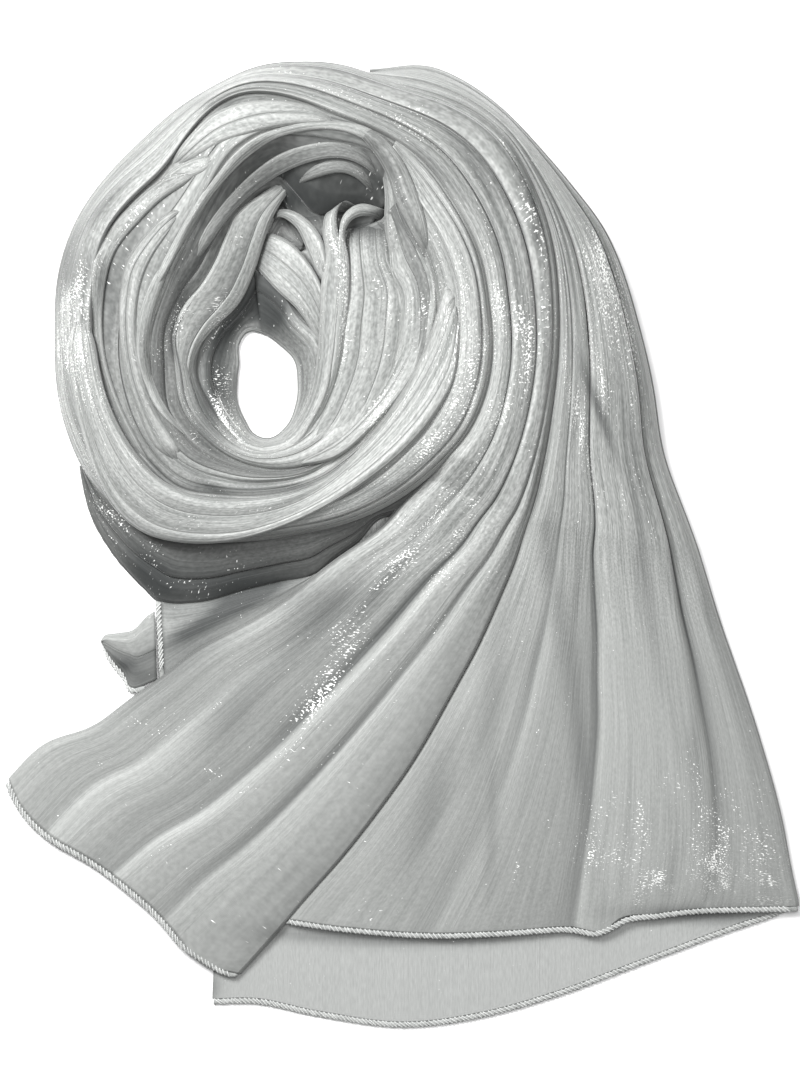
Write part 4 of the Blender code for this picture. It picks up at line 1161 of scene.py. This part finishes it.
def ribbon_rows(table, sections):
    """Places along a ribbon's table, this many for each of its rows, and its columns read there."""
    places = np.linspace(0, len(table) - 1, sections * (len(table) - 1))
    return places, smooth_columns([(i, *row) for i, row in enumerate(table)], places)


def ribbon(name, table, crown, creases=(), shading_tone=0.0):
    """A ribbon between two edges, its middle raised by crown. It runs out to a point at its lower end."""
    places, values = ribbon_rows(table, ROWS_EACH)
    offset = np.array([RING_X, RING_Y, 0])
    left, right = tapered(values[:, :3] + offset, values[:, 3:] + offset, begins=False)
    folds = ribbon_folds((places[0], places[-1]), (crown, crown), creases, shading_tone)
    grid, shading_tones = folded_grid(left, right, places, folds)
    grid = pleated(grid, seed=len(name), count=12, depth=(0.1, 0.4), wide=(1.2, 2.4), long=(30, 90))
    grid = edge_finished(grid, TURNED, TURNED)
    # Painted shade on the rows near the hollow.
    painted_hollow_shade = HOLLOW_SHADE * np.clip(1 - travelled(left) / HOLLOW_REACH, 0, 1)
    return sheet(name, grid, shading_tones, CHIFFON, [], row_shade=painted_hollow_shade)


# Their tones are painted light and shade; the shaded tongue is darkened, lying deep in the hollow.
ribbon("leaf", LEAF, 2.0, creases=(0.3,), shading_tone=.06)
ribbon("lower_tip", LOWER_TIP, 1.5, creases=(0.55,), shading_tone=.03)
ribbon("thin_curl", THIN_CURL, 1.5)
ribbon("shaded_tongue", SHADED_TONGUE, 0.5, shading_tone=-.4)
ribbon("narrow_strip", NARROW_STRIP, 2.0)
ribbon("hook", HOOK, 1.5, shading_tone=.1)
ribbon("wide_band", WIDE_BAND, 3.0, creases=(0.3, 0.72), shading_tone=.05)
ribbon("inner_cheek", INNER_CHEEK, 3.0, creases=(0.4,))

# %% Arch
# The arch's two inner ribbons are darkened as painted shade, where they face into the hollow; its outer
# ribbon at the ridge is lightened as painted light.
ARCH_FOLDS = (
    ("ridge", 0, -.42, (
        (-30, .2, .5), (-84, .2, 1), (-152, .2, 2.5), (-193, .2, 2), (-247, .15, 0), (-270, .12, -3),
        (-301, .12, -8))),
    ("crease", (
        (-30, .35, .3), (-84, .35, .5), (-152, .4, 1.5), (-193, .38, 1.5), (-247, .3, 1.5),
        (-270, .26, 2), (-301, .25, 1))),
    ("ridge", 1, -.44, (
        (-30, .6, .8), (-84, .6, 2), (-152, .58, 4), (-193, .6, 4), (-247, .6, 1), (-270, .6, -3),
        (-290, .6, -3), (-303, .6, -12))),
    ("crease", (
        (-30, .84, .3), (-84, .84, .5), (-152, .78, 1.5), (-193, .8, 1), (-247, .86, .6), (-270, .87, .5),
        (-301, .87, .5))),
    ("ridge", 0, .12, (
        (-30, .93, .5), (-84, .93, 1.5), (-152, .9, 3.5), (-193, .92, 3), (-247, .94, 1.5),
        (-270, .95, 0), (-290, .95, 0), (-303, .95, -10))),
)
arch_stations = np.linspace(-30, -303, 260)
arch_inner, arch_outer = ring_points(LEAF_LINE, arch_stations), ring_points(RIDGE, arch_stations)
arch, arch_shading_tones = folded_grid(arch_inner, arch_outer, arch_stations, ARCH_FOLDS)
arch = pleated(arch, seed=11, count=30, depth=(0.2, 0.8), wide=(2.2, 4.4), long=(40, 160))
arch = edge_finished(arch, TUCKED, TURNED)
sheet("arch_cloth", arch, arch_shading_tones, CHIFFON, ["arch"], (0.062, 0.53))

# %% Valley
# Its middle and outer ribbons are darkened as painted shade.
VALLEY_FOLDS = (
    ("ridge", 0, .05, (
        (55.5, .2, 1), (20, .3, 3), (-30, .3, 1), (-60, .3, -3), (-90, .3, -4), (-150, .25, 3),
        (-210, .25, 9), (-240, .25, 9), (-262, .2, 6), (-283, .2, .5), (-300, .2, -6))),
    ("crease", (
        (55.5, .4, .5), (20, .5, .5), (-30, .5, 1), (-90, .5, 1), (-150, .5, 3), (-210, .47, 4),
        (-240, .42, 2), (-262, .36, 2), (-283, .35, .5), (-300, .35, 0))),
    ("ridge", -1, -.3, (
        (55.5, .6, 2), (20, .7, 4), (-30, .65, 2), (-60, .6, -3), (-90, .6, -4), (-150, .65, 3),
        (-210, .62, 4), (-240, .6, 7), (-262, .5, 7), (-283, .5, .5), (-300, .5, -6))),
    ("crease", (
        (55.5, .8, .3), (20, .85, .5), (-30, .8, .5), (-90, .8, .5), (-150, .84, 2), (-210, .83, 2),
        (-240, .76, 2), (-262, .7, 2), (-283, .7, .3), (-300, .7, 0))),
    ("ridge", 0, -.14, (
        (55.5, .93, 1), (20, .93, 2), (-30, .92, 1), (-60, .92, 0), (-90, .92, -1), (-150, .92, 3),
        (-210, .92, 4), (-240, .9, 6), (-262, .88, 6), (-283, .88, .5), (-300, .88, -6))),
)
valley_stations = np.linspace(55.5, -300, 380)
valley_inner = joined(valley_stations, (90, ring(LEAF_LINE)), (-29, ring(RIDGE)))
valley_outer = joined(valley_stations, (90, ring(BAND_INNER)), (-286, ring(BAND_OUTER, 1)))
valley, valley_shading_tones = folded_grid(valley_inner, eased(valley_outer), valley_stations, VALLEY_FOLDS)
valley = pleated(valley, seed=13, count=40, depth=(0.2, 0.8), wide=(2.2, 4.4), long=(40, 160))
valley = edge_finished(valley, TUCKED, TUCKED)
sheet("inner_valley_cloth", valley, valley_shading_tones, CHIFFON, ["inner_valley"], (0.066, 0.76))

# %% [markdown]
# ## Ribbons that lie over the ring
#
# Some folds cross over others: at the top left the cloth opens like a lens, and narrow folds run down
# the left from it. Each lies on the sheets below, so its table gives only its two edges, and its height
# is found by casting rays down onto the cloth that is already there. Its ends dive into that cloth, as
# if they went on under it.

# %% Tables of the laid ribbons
# Columns: one edge's x and y from the ring's middle, the other edge's x and y.
LENS_UPPER = (
    (-81.6, 169.9, -72.2, 165.2),
    (-65.2, 188.7, -51, 181.6),
    (-47.5, 207.5, -32.2, 191.1),
    (-29.9, 216.9, -13.4, 196.9),
    (-8.7, 222.1, 5.4, 201.6),
    (17.2, 221.6, 24.3, 204),
    (38.4, 216.9, 43.1, 205.2),
    (57.2, 206.8, 58.4, 205.2),
)
LENS_LOWER = (
    (-93.4, 151.1, -88.7, 146.4),
    (-76.9, 166.4, -69.9, 158.1),
    (-55.7, 176.9, -48.7, 166.4),
    (-36.9, 182.8, -32.2, 173.4),
)
OUTER_FOLD = (
    (-55.7, 169.9, -51, 162.8),
    (-76.9, 162.8, -69.9, 154.6),
    (-92.2, 153.4, -86.3, 144),
    (-109.9, 136.9, -102.8, 127.5),
    (-126.3, 118.1, -119.3, 108.7),
    (-135.7, 96.9, -127.5, 87.5),
    (-138.1, 73.4, -130.6, 66.4),
    (-138.1, 52.2, -131.5, 47.5),
    (-134.6, 28.7, -129.9, 26.4),
    (-128.7, 5.2, -125.2, 5.2),
    (-119.3, -20.7, -115.7, -20.7),
    (-105.2, -48.9, -101.6, -47.8),
    (-91, -65.4, -89.9, -66.6),
)
MIDDLE_FOLD = (
    (-60.4, 144, -65.2, 129.9),
    (-79.3, 132.2, -79.3, 115.8),
    (-95.7, 115.8, -91, 99.3),
    (-109.9, 96.9, -99.3, 80.5),
    (-114.6, 75.8, -102.8, 61.6),
    (-115.7, 52.2, -104, 42.8),
    (-114.6, 28.7, -101.6, 19.3),
    (-109.9, 2.8, -95.7, -4.2),
    (-101.6, -20.7, -86.3, -25.4),
    (-92.2, -44.2, -72.2, -46.6),
    (-81.6, -63.1, -60.4, -60.7),
)
ARCH_RIM = (
    (-93.4, 68.7, -88.7, 68.7),
    (-81.6, 94.6, -75.7, 94.6),
    (-67.5, 120.5, -62.8, 118.1),
    (-53.4, 144, -48.7, 141.6),
    (-39.3, 164, -32.2, 162.8),
    (-22.8, 182.8, -15.7, 179.3),
    (-4, 195.8, 3.1, 192.2),
    (17.2, 202.4, 21.9, 198.1),
    (40.7, 205.2, 43.1, 200.9),
    (64.3, 204.7, 61.9, 199.3),
    (83.1, 199.3, 78.4, 192.2),
    (99.6, 186.4, 89, 181.6),
)
THIN_FOLD = (
    (-81.6, 99.3, -75.7, 94.6),
    (-89.9, 80.5, -82.8, 78.1),
    (-97.6, 61.6, -89.9, 59.3),
    (-101.6, 40.5, -93.9, 40.5),
    (-101.6, 21.6, -94.6, 21.6),
    (-96.9, 2.8, -91, 2.8),
    (-88.7, -16, -82.8, -16),
    (-76.9, -30.1, -71, -32.5),
    (-60.4, -44.2, -55.7, -47.8),
)
SHADED_ARC = (
    (63.3, 196.9, 72.7, 202.4),
    (75.1, 193.4, 84.5, 199.3),
    (86.8, 181.6, 98.6, 186.4),
    (96.3, 165.2, 109.2, 169.9),
    (102.1, 146.4, 116.3, 153.4),
    (110.4, 129.9, 122.1, 136.9),
    (119.8, 111.1, 126.8, 118.1),
    (128, 96.9, 130.4, 99.3),
)
BOTTOM_SWEEP = (
    (-158.8, 52.0, -137.2, 53.6),
    (-157.2, 20.0, -135.6, 23.2),
    (-150.8, -16.0, -128.4, -10.4),
    (-142.8, -48.0, -115.6, -39.2),
    (-133.2, -76.0, -96.4, -66.4),
    (-118.8, -100.0, -74.8, -82.4),
    (-96.4, -117.6, -50.8, -90.4),
    (-66.0, -124.8, -18.8, -92.0),
    (-29.2, -124.0, 18.8, -87.2),
    (10.8, -112.8, 50.8, -72.8),
    (49.2, -95.2, 79.6, -44.0),
    (86.0, -71.2, 105.2, -10.4),
    (118.0, -42.4, 124.4, 26.4),
    (142.0, -8.8, 137.2, 63.2),
    (158.0, 31.2, 143.6, 98.4),
)
NEST_OUTER = (
    (-64.4, 93.6, -54.8, 93.6),
    (-46.8, 125.6, -34.8, 127.2),
    (-22.8, 156, -10, 154.4),
    (9.2, 181.6, 18.8, 172),
    (49.2, 191.2, 53.2, 180),
    (78, 183.2, 76.4, 173.6),
    (92.4, 165.6, 87.6, 160.8),
)
NEST_INNER = (
    (18.8, 160.8, 18.8, 156),
    (34.8, 172, 37.2, 164),
    (57.2, 177.6, 58.8, 168.8),
    (76.4, 170.4, 74.8, 161.6),
    (89.2, 152.8, 84.4, 148),
)

# %% Heights under the ribbons
LAID_ON = (
    "long_wrap", "side_wrap", "collar_rim_cloth", "collar_leaf_cloth", "arch_cloth", "inner_valley_cloth",
)
RAY_START = 0.2  # rays start this high over the floor, m

trees = []


def rest_on(made):
    """Lets later ribbons lie on this piece too."""
    mesh = bmesh.new()
    mesh.from_mesh(made.data)
    trees.append(BVHTree.FromBMesh(mesh))
    mesh.free()


for base_name in LAID_ON:
    rest_on(made_sheets[base_name][0])
print("sheets to lay ribbons on:", len(trees))


def height_under(x, y):
    """The top of the cloth under a point from the ring's middle, in mm."""
    start = Vector(((x + RING_X) * MM, (y + RING_Y) * MM, RAY_START))
    hits = [tree.ray_cast(start, Vector((0, 0, -1)))[0] for tree in trees]
    return max([hit.z / MM for hit in hits if hit] or [0.0])


# %% Laid ribbons
LAID_SECTIONS = 12  # for each row of the table
PROBES = 5  # rays across each section
LAID_EASE = 5  # heights are smoothed over this many sections on each side
LAID_OVER = 0.9  # clearance over the cloth below, mm
SINK_LENGTH, SINK_DEPTH, SINK_CURVE = 18.0, 6.5, 1.5  # how its ends dive into the cloth, mm
# Painted shade on a ribbon's ends, where they go under other cloth.
END_SHADE = 0.5  # a ribbon's ends are dark, where they go under other cloth


def laid_ribbon(name, table, lift=(0.0, 0.0), crown=0.8, creases=(), shading_tone=0.0):
    """A ribbon over the sheets below. lift raises its first and its second edge."""
    places, values = ribbon_rows(table, LAID_SECTIONS)
    first, second = tapered(values[:, :2], values[:, 2:])
    shares = np.linspace(0, 1, PROBES)
    under = np.array([[height_under(*(a + (b - a) * s)) for s in shares] for a, b in zip(first, second)])
    heights = [under[:, :2].max(axis=1) + lift[0], under[:, 3:].max(axis=1) + lift[1]]
    gone = travelled(first)
    to_end = np.clip(np.minimum(gone, gone[-1] - gone) / SINK_LENGTH, 0, 1)
    sink = SINK_DEPTH * (1 - to_end) ** SINK_CURVE
    edges = []
    for edge, height in zip((first, second), heights):
        line = np.column_stack([edge + (RING_X, RING_Y), height + LAID_OVER - sink])
        edges.append(eased(line, LAID_EASE))
    middle = under[:, 1:-1].max(axis=1) + LAID_OVER - sink - (edges[0][:, 2] + edges[1][:, 2]) / 2
    hump = eased(np.maximum(middle, 0)[:, None], LAID_EASE)[:, 0] + crown
    grid, shading_tones = folded_grid(*edges, places, ribbon_folds(places, hump, creases, shading_tone))
    grid = edge_finished(grid, TURNED, TURNED)
    # Its ends get painted shade.
    made = sheet(name, grid, shading_tones, CHIFFON, [], row_shade=END_SHADE * (1 - to_end))
    rest_on(made)
    return made


# Their tones are painted light and shade: the nest ribbons, the shaded arc and the outer fold are darkened
# where they lie in shade, and the arch rim is lightened where it is lit.
laid_ribbon("bottom_sweep", BOTTOM_SWEEP, lift=(1.5, 0.5), crown=1.2, creases=(0.2, 0.62), shading_tone=.04)
laid_ribbon("lens_upper", LENS_UPPER, lift=(1.5, 0), crown=1.5, creases=(0.5,), shading_tone=.05)
laid_ribbon("lens_lower", LENS_LOWER, lift=(1, 0), shading_tone=-.02)
laid_ribbon("middle_fold", MIDDLE_FOLD, lift=(1.5, 0), crown=1.5, creases=(0.4,), shading_tone=-.04)
laid_ribbon("outer_fold", OUTER_FOLD, lift=(0.5, 2), shading_tone=-.18)
laid_ribbon("thin_fold", THIN_FOLD, lift=(1.5, 0), shading_tone=.08)
laid_ribbon("arch_rim", ARCH_RIM, lift=(0, 1.5), shading_tone=.12)
laid_ribbon("shaded_arc", SHADED_ARC, lift=(0, 1), shading_tone=-.22)
laid_ribbon("nest_outer", NEST_OUTER, lift=(0, 2.5), shading_tone=-.3)
laid_ribbon("nest_inner", NEST_INNER, lift=(0, 2.5), shading_tone=-.35)

# %% [markdown]
# ## Lower folds, under tail and flaps
#
# Under the main band a few folds show at the lower left, darkened by painted shade, and the other end of
# the scarf lies flat on the floor below the tails, with two of its corners peeking out at the left. They
# are the lowest cloth, so their charts are simple: two ribbons for the dark folds, one for the front
# corner and two for the back one. The under tail has no folds at all, so its grid is turned, with its
# long side across the cloth.

# %% Lower folds
LOWER_DROP = 5.0  # the cloth lies this much under its fold lines here, mm
# Both ribbons' tones are painted shade, where they lie under the overhanging main band.
LOWER_FOLDS = (
    ("ridge", 1, -.62, ((-30, .3, 2), (-84, .3, 6), (-136, .3, 6), (-157, .3, 3))),
    ("crease", ((-30, .6, 1), (-84, .6, 2), (-157, .6, 1))),
    ("ridge", 1, -.66, ((-30, .8, 2), (-84, .8, 5), (-136, .8, 5), (-157, .8, 2))),
)
LOWER_EDGE = ((-28, 172, 14), (-40, 155, 14), *LOWER_OUTER)  # the line begins further on, under the band
low_stations = np.linspace(-30, -157, 130)
low, low_shading_tones = folded_grid(
    ring_points(BAND_OUTER, low_stations), ring_points(LOWER_EDGE, low_stations), low_stations, LOWER_FOLDS
)
low[:, :, 2] -= LOWER_DROP
low = pleated(low, seed=15, count=20, depth=(0.1, 0.45), wide=(1.6, 3.4), long=(40, 120))
low = edge_finished(low, TUCKED, TURNED)
sheet("lower_folds_cloth", low, low_shading_tones, CHIFFON, ["lower_folds"], (0.062, 0.275))

# %% Under tail
UNDER_TONE = 0.12
NO_FOLDS = (("ridge", 0, UNDER_TONE, ((0, .5, 0), (20, .5, 0))),)
under_stations = np.linspace(0, len(UNDER_INNER) - 1, 170)
under, _ = folded_grid(
    tail_points(UNDER_INNER, under_stations), tail_points(UNDER_OUTER, under_stations), under_stations,
    NO_FOLDS,
)
under_hem_line, under_before = under[:, -1].copy(), under[:, -4].copy()
under = under.swapaxes(0, 1)
under_shading_tones = np.full(under.shape[1], UNDER_TONE)
sheet("under_tail_cloth", under, under_shading_tones, SMOOTH_CHIFFON, ["under_tail"], (0.475, 0.095), held="laid")

# %% Front flap, between the lower folds and the front tail
FLAP_BEARING, FLAP_SWEEP = -116.5, 38.5  # where it begins on the lower folds' line, and how far it goes
FLAP_PLACE, FLAP_TRAVEL = 7.0, 3.7  # the same on the front tail's edge, in rows of its table, backwards
FLAP_DROP = 3  # it lies this much under those lines, mm
FLAP_FOLDS = (("ridge", 0, .05, ((0, .5, 2), (1, .5, 3))),)
flap_stations = np.linspace(0, 1, 40)
flap, flap_shading_tones = folded_grid(
    ring_points(LOWER_OUTER, FLAP_BEARING + FLAP_SWEEP * flap_stations),
    tail_points(FRONT_EDGE, FLAP_PLACE - FLAP_TRAVEL * flap_stations), flap_stations, FLAP_FOLDS,
)
flap[:, :, 2] -= FLAP_DROP
flap_hem_line, flap_before = flap[0].copy(), flap[2].copy()
front_flap_cloth = edge_finished(flap, TUCKED, TUCKED)
sheet("front_flap_cloth", front_flap_cloth, flap_shading_tones, CHIFFON, ["front_flap"], (0.055, 0.125))

# %% Back flap
BACK_FOLDS = (
    ("ridge", -1, 0, ((0, .3, 1.5), (4, .3, 1.5))),
    ("crease", ((0, .56, .6), (4, .56, .6))),
    ("ridge", 1, -.4, ((0, .8, 1.2), (4, .8, 1.2))),
)
back_stations = np.linspace(0, len(FLAP_TOP) - 1, 30)
back, back_shading_tones = folded_grid(
    tail_points(FLAP_TOP, back_stations), tail_points(FLAP_FOOT, back_stations), back_stations, BACK_FOLDS
)
back_hem_line, back_before = back[:-2, -1].copy(), back[:-2, -3].copy()
sheet("back_flap_cloth", back, back_shading_tones, CHIFFON, ["back_flap"], (0.036, 0.046))

# %% [markdown]
# ## Rolled and overlocked hems
#
# The cloth's edge is rolled and bound by an overlock seam. A bump pattern alone would look painted on
# from the side, so the roll is a flat tube just off the edge, whose surface swells between the threads,
# and over it lie the threads themselves, short and all slanted one way, one each few millimetres.

# %% Thread and roll finishes
CLOUD_SIZE = 12  # the soft clouds in a thread's colour are this many times as large as its twist


def thread_finish(name, dark, light, twist, rough):
    """A matt thread with a fine twist, on the piece's own coordinates; twist is repeats to a metre."""
    material = bpy.data.materials.new(name)
    material.use_nodes = True
    tree = material.node_tree
    shader = tree.nodes["Principled BSDF"]
    place = add(tree, "ShaderNodeTexCoord").outputs["Object"]
    fine = {"Scale": twist, "Detail": 3.0, "Roughness": 0.6}
    wide = {"Scale": twist / CLOUD_SIZE, "Detail": 2.0}
    fibres, clouds = [
        add(tree, "ShaderNodeTexNoise", values, {"Vector": place}).outputs["Fac"] for values in (fine, wide)
    ]
    level = weighted(tree, fibres, 0.6, clouds, 0.4)
    colour = colour_mix(tree, stretch_range(tree, level, 0.35, 0.65), dark, light)
    tree.links.new(colour, shader.inputs["Base Color"])
    tree.links.new(stretch_range(tree, level, 0.3, 0.7, rough, rough - 0.15), shader.inputs["Roughness"])
    shader.inputs["Sheen Weight"].default_value = 0.2
    bump = add(tree, "ShaderNodeBump", {"Strength": 0.4, "Distance": 0.0004}, {"Height": fibres})
    tree.links.new(bump.outputs["Normal"], shader.inputs["Normal"])
    return material


ROLLED = thread_finish("rolled hem", (0.17, 0.178, 0.172), (0.42, 0.43, 0.42), 1400.0, 0.6)
THREAD = thread_finish("overlock thread", (0.42, 0.43, 0.42), (0.74, 0.75, 0.74), 2400.0, 0.5)
print("hem finishes:", ROLLED.name, "and", THREAD.name)

# %% The roll of a hem
HEM_WIDTH, HEM_GAP, HEM_HALF_HEIGHT = 4.6, 0.1, 1.25
HEM_SIDES, HEM_STEP = 14, 0.9  # faces round the roll, and the length of each section in mm
HEM_SAG, HEM_CLEAR = 0.4, 0.25  # the roll's middle lies this much under the cloth's edge, and off the floor
BRAID_LENGTH, BRAID_SWELL = 8.0, 0.28  # one repeat of the seam in mm, and how much it swells the roll
BRAID_LEVEL = 0.9  # the roll has its own size where the seam's wave is this high


def spaced(line, others, step):
    """A line of points at an even spacing, with other values along it read at the same places."""
    gone = travelled(line)
    even = np.linspace(0, gone[-1], int(gone[-1] / step) + 1)
    read = [
        np.column_stack([np.interp(even, gone, column) for column in table.T]) for table in (line, others)
    ]
    return even, *read


def hem(name, edge, before, nodes):
    """A rolled hem just off an edge of cloth; before is the line of points next to the edge."""
    away = edge - before
    away[:, 2] = 0
    away /= np.linalg.norm(away, axis=1)[:, None]
    along, line, away = spaced(eased(edge, 2), eased(away, 6), HEM_STEP)
    turns = np.linspace(0, math.tau, HEM_SIDES + 1)
    middle = line + away * (HEM_GAP + HEM_WIDTH / 2)
    middle[:, 2] = np.maximum(line[:, 2] - HEM_SAG, HEM_HALF_HEIGHT + HEM_CLEAR)
    from_top = np.abs(turns - math.pi / 2)
    wave = np.abs(np.sin(from_top[None, :] + math.pi * along[:, None] / BRAID_LENGTH))
    swell = 1 + BRAID_SWELL * (wave - BRAID_LEVEL)
    swell[:, -1] = swell[:, 0]  # the tube closes on itself
    grid = middle[:, None, :] + away[:, None, :] * (swell * np.cos(turns))[:, :, None] * HEM_WIDTH / 2
    grid[:, :, 2] += swell * np.sin(turns) * HEM_HALF_HEIGHT
    mesh, *_ = grid_mesh(name, grid, rolled_up=True)
    made = in_scene(name, mesh, ROLLED)
    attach(made, "root")
    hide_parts(*nodes)
    print(f"{name}: {along[-1]:.0f} mm long, {len(mesh.polygons)} faces")
    return made, middle, away


# %% Overlock threads over a hem
STITCH_SPACING, STITCH_RADIUS, STITCH_SIDES = 3.4, 0.5, 6
STITCH_ROUND = (-0.95, -0.5, 0.0, 0.5, 0.95)  # places over the roll, from its inner side to its outer one
STITCH_SLANT, SLANT_SWING = 2.8, 0.5  # how far a thread runs along the hem while it crosses half of it, mm
STITCH_OVER = 1.02  # a thread lies on an oval this much larger than the roll
STITCH_CLEAR = 0.1  # and this much higher, mm
STITCH_MARGIN = 4  # sections without a thread at each end of a hem


def stitches(name, middle, away, seed):
    """Slanted threads over a hem's roll, each a chain of short six-sided rods."""
    draw = random.Random(seed)
    threads = bmesh.new()
    step = STITCH_SPACING / HEM_STEP
    for k in range(int((len(middle) - 2 * STITCH_MARGIN) / step)):
        at = STITCH_MARGIN + int(k * step)
        forward = middle[at + 1] - middle[at]
        forward /= np.linalg.norm(forward)
        slant = STITCH_SLANT + draw.uniform(-SLANT_SWING, SLANT_SWING)
        path = []
        for share in STITCH_ROUND:
            rise = HEM_HALF_HEIGHT * math.sqrt(1 - share * share) * STITCH_OVER + STITCH_CLEAR
            point = middle[at] + away[at] * share * HEM_WIDTH / 2 + forward * slant * share
            path.append(Vector(point + (0, 0, rise)) * MM)
        for start, end in zip(path, path[1:]):
            way = end - start
            turn = way.to_track_quat("Z", "Y").to_matrix().to_4x4()
            bmesh.ops.create_cone(
                threads, cap_ends=True, segments=STITCH_SIDES, radius1=STITCH_RADIUS * MM,
                radius2=STITCH_RADIUS * MM, depth=way.length + STITCH_RADIUS * MM,
                matrix=Matrix.Translation((start + end) / 2) @ turn,
            )
    for face in threads.faces:
        face.smooth = len(face.verts) == 4  # a rod's sides, not its caps
    made = in_scene(name, as_mesh(name, threads), THREAD)
    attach(made, "root")
    print(f"{name}: {len(made.data.polygons)} faces")
    return made


# %% Hems and their threads
# Columns: piece, edge of cloth, line beside it, the solid it stands for, the sheet it is on.
HEMS = (
    ("front_tail_hem_roll", front_hem_line, front_before, "front_tail_hem", "long_wrap"),
    ("right_tail_hem_roll", right_hem_line, right_before, "right_tail_hem", "side_wrap"),
    ("under_tail_hem_roll", under_hem_line, under_before, "under_tail_hem", "under_tail_cloth"),
    ("front_flap_hem_roll", flap_hem_line, flap_before, "front_flap_hem", "front_flap_cloth"),
    ("back_flap_hem_roll", back_hem_line, back_before, "back_flap_hem", "back_flap_cloth"),
)
for seed, (name, edge, before, node, cloth_name) in enumerate(HEMS):
    roll, middle, away = hem(name, edge, before, [node])
    stitches(name.replace("roll", "threads"), middle, away, seed)

# %% [markdown]
# ## What each sheet was cut from
#
# A folded sheet lies smaller than it was cut, so each one keeps its flat width and length, and whether it
# is folded or simply laid down, in a table. The rolls and threads of a hem lie on their sheet.

# %% Sheets made
print("sheets declared:", len(made_sheets))

# %% [markdown]
# ## Hidden layers
#
# What lies out of sight under the wraps is one rounded solid of the frame. New sheets there would never be
# seen, so it is kept as it is. It has the cloth's own colours, because it may be glimpsed between sheets.

# %% Hidden layers
hidden = bpy.data.objects["hidden_layers"]
hidden.data.materials.clear()
hidden.data.materials.append(UNSEEN_CHIFFON)
print("hidden layers:", len(hidden.data.polygons), "triangles")

# %% [markdown]
# ## Floor, light and camera
#
# The scarf lies on a plain pale floor under soft light, and the shadows fall to the lower right. A wide
# dim lamp overhead fills the folds, a smaller strong one from the upper left draws their edges, and the
# camera looks straight down through a long lens, so that the tall middle isn't enlarged.

# %% Floor
FLOOR_HALF = 4.0  # m
FLOOR_GREYS = ((0.93, 0.93, 0.93), (0.95, 0.95, 0.95))
FLOOR_ROUGH = 0.9


def floor_finish():
    material = bpy.data.materials.new("white floor")
    material.use_nodes = True
    tree = material.node_tree
    place = add(tree, "ShaderNodeTexCoord").outputs["Object"]
    cloudy = add(tree, "ShaderNodeTexNoise", {"Scale": 30.0, "Detail": 4.0}, {"Vector": place})
    shader = tree.nodes["Principled BSDF"]
    tree.links.new(colour_mix(tree, cloudy.outputs["Fac"], *FLOOR_GREYS), shader.inputs["Base Color"])
    shader.inputs["Roughness"].default_value = FLOOR_ROUGH
    return material


plain = bmesh.new()
bmesh.ops.create_grid(plain, x_segments=1, y_segments=1, size=FLOOR_HALF)
floor = in_scene("floor", as_mesh("floor", plain), floor_finish())
print("floor:", 2 * FLOOR_HALF, "m wide")

# %% Lamps
# Columns: name, place in m, diameter in m, power in W.
LAMPS = (
    ("overhead", (0.3, 0.3, 2.4), 1.6, 36),
    ("key", (-1.15, 1.2, 1.8), 1.0, 90),
)
ROOM_LIGHT = 0.18


def area_light(name, place, size, power):
    """A round lamp that shines at the middle of the scarf."""
    data = bpy.data.lights.new(name, "AREA")
    data.shape, data.size, data.energy = "DISK", size, power
    lamp = bpy.data.objects.new(name, data)
    lamp.location = place
    lamp.rotation_euler = (-Vector(place)).to_track_quat("-Z", "Y").to_euler()
    bpy.context.scene.collection.objects.link(lamp)


for lamp_row in LAMPS:
    area_light(*lamp_row)
world = bpy.context.scene.world or bpy.data.worlds.new("room")
bpy.context.scene.world = world
world.use_nodes = True
world.node_tree.nodes["Background"].inputs["Color"].default_value = (1, 1, 1, 1)
world.node_tree.nodes["Background"].inputs["Strength"].default_value = ROOM_LIGHT
bpy.context.scene.view_settings.view_transform = "Standard"
print("lamps, W:", {name: power for name, _, _, power in LAMPS})

# %% Camera
PHOTO_HEIGHT, PIXEL = 1091, 0.8  # the photo's height in pixels, and the real size of one on the scarf in mm
FRAME_HEIGHT = PHOTO_HEIGHT * PIXEL * MM
LENS, SENSOR = 150.0, 36.0
view = bpy.data.cameras.new("view")
view.lens, view.sensor_width = LENS, SENSOR
camera = bpy.data.objects.new("view", view)
camera.location = (0.0, 0.0, FRAME_HEIGHT * LENS / SENSOR)
bpy.context.scene.collection.objects.link(camera)
bpy.context.scene.camera = camera
print("camera height, m:", round(camera.location.z, 3))
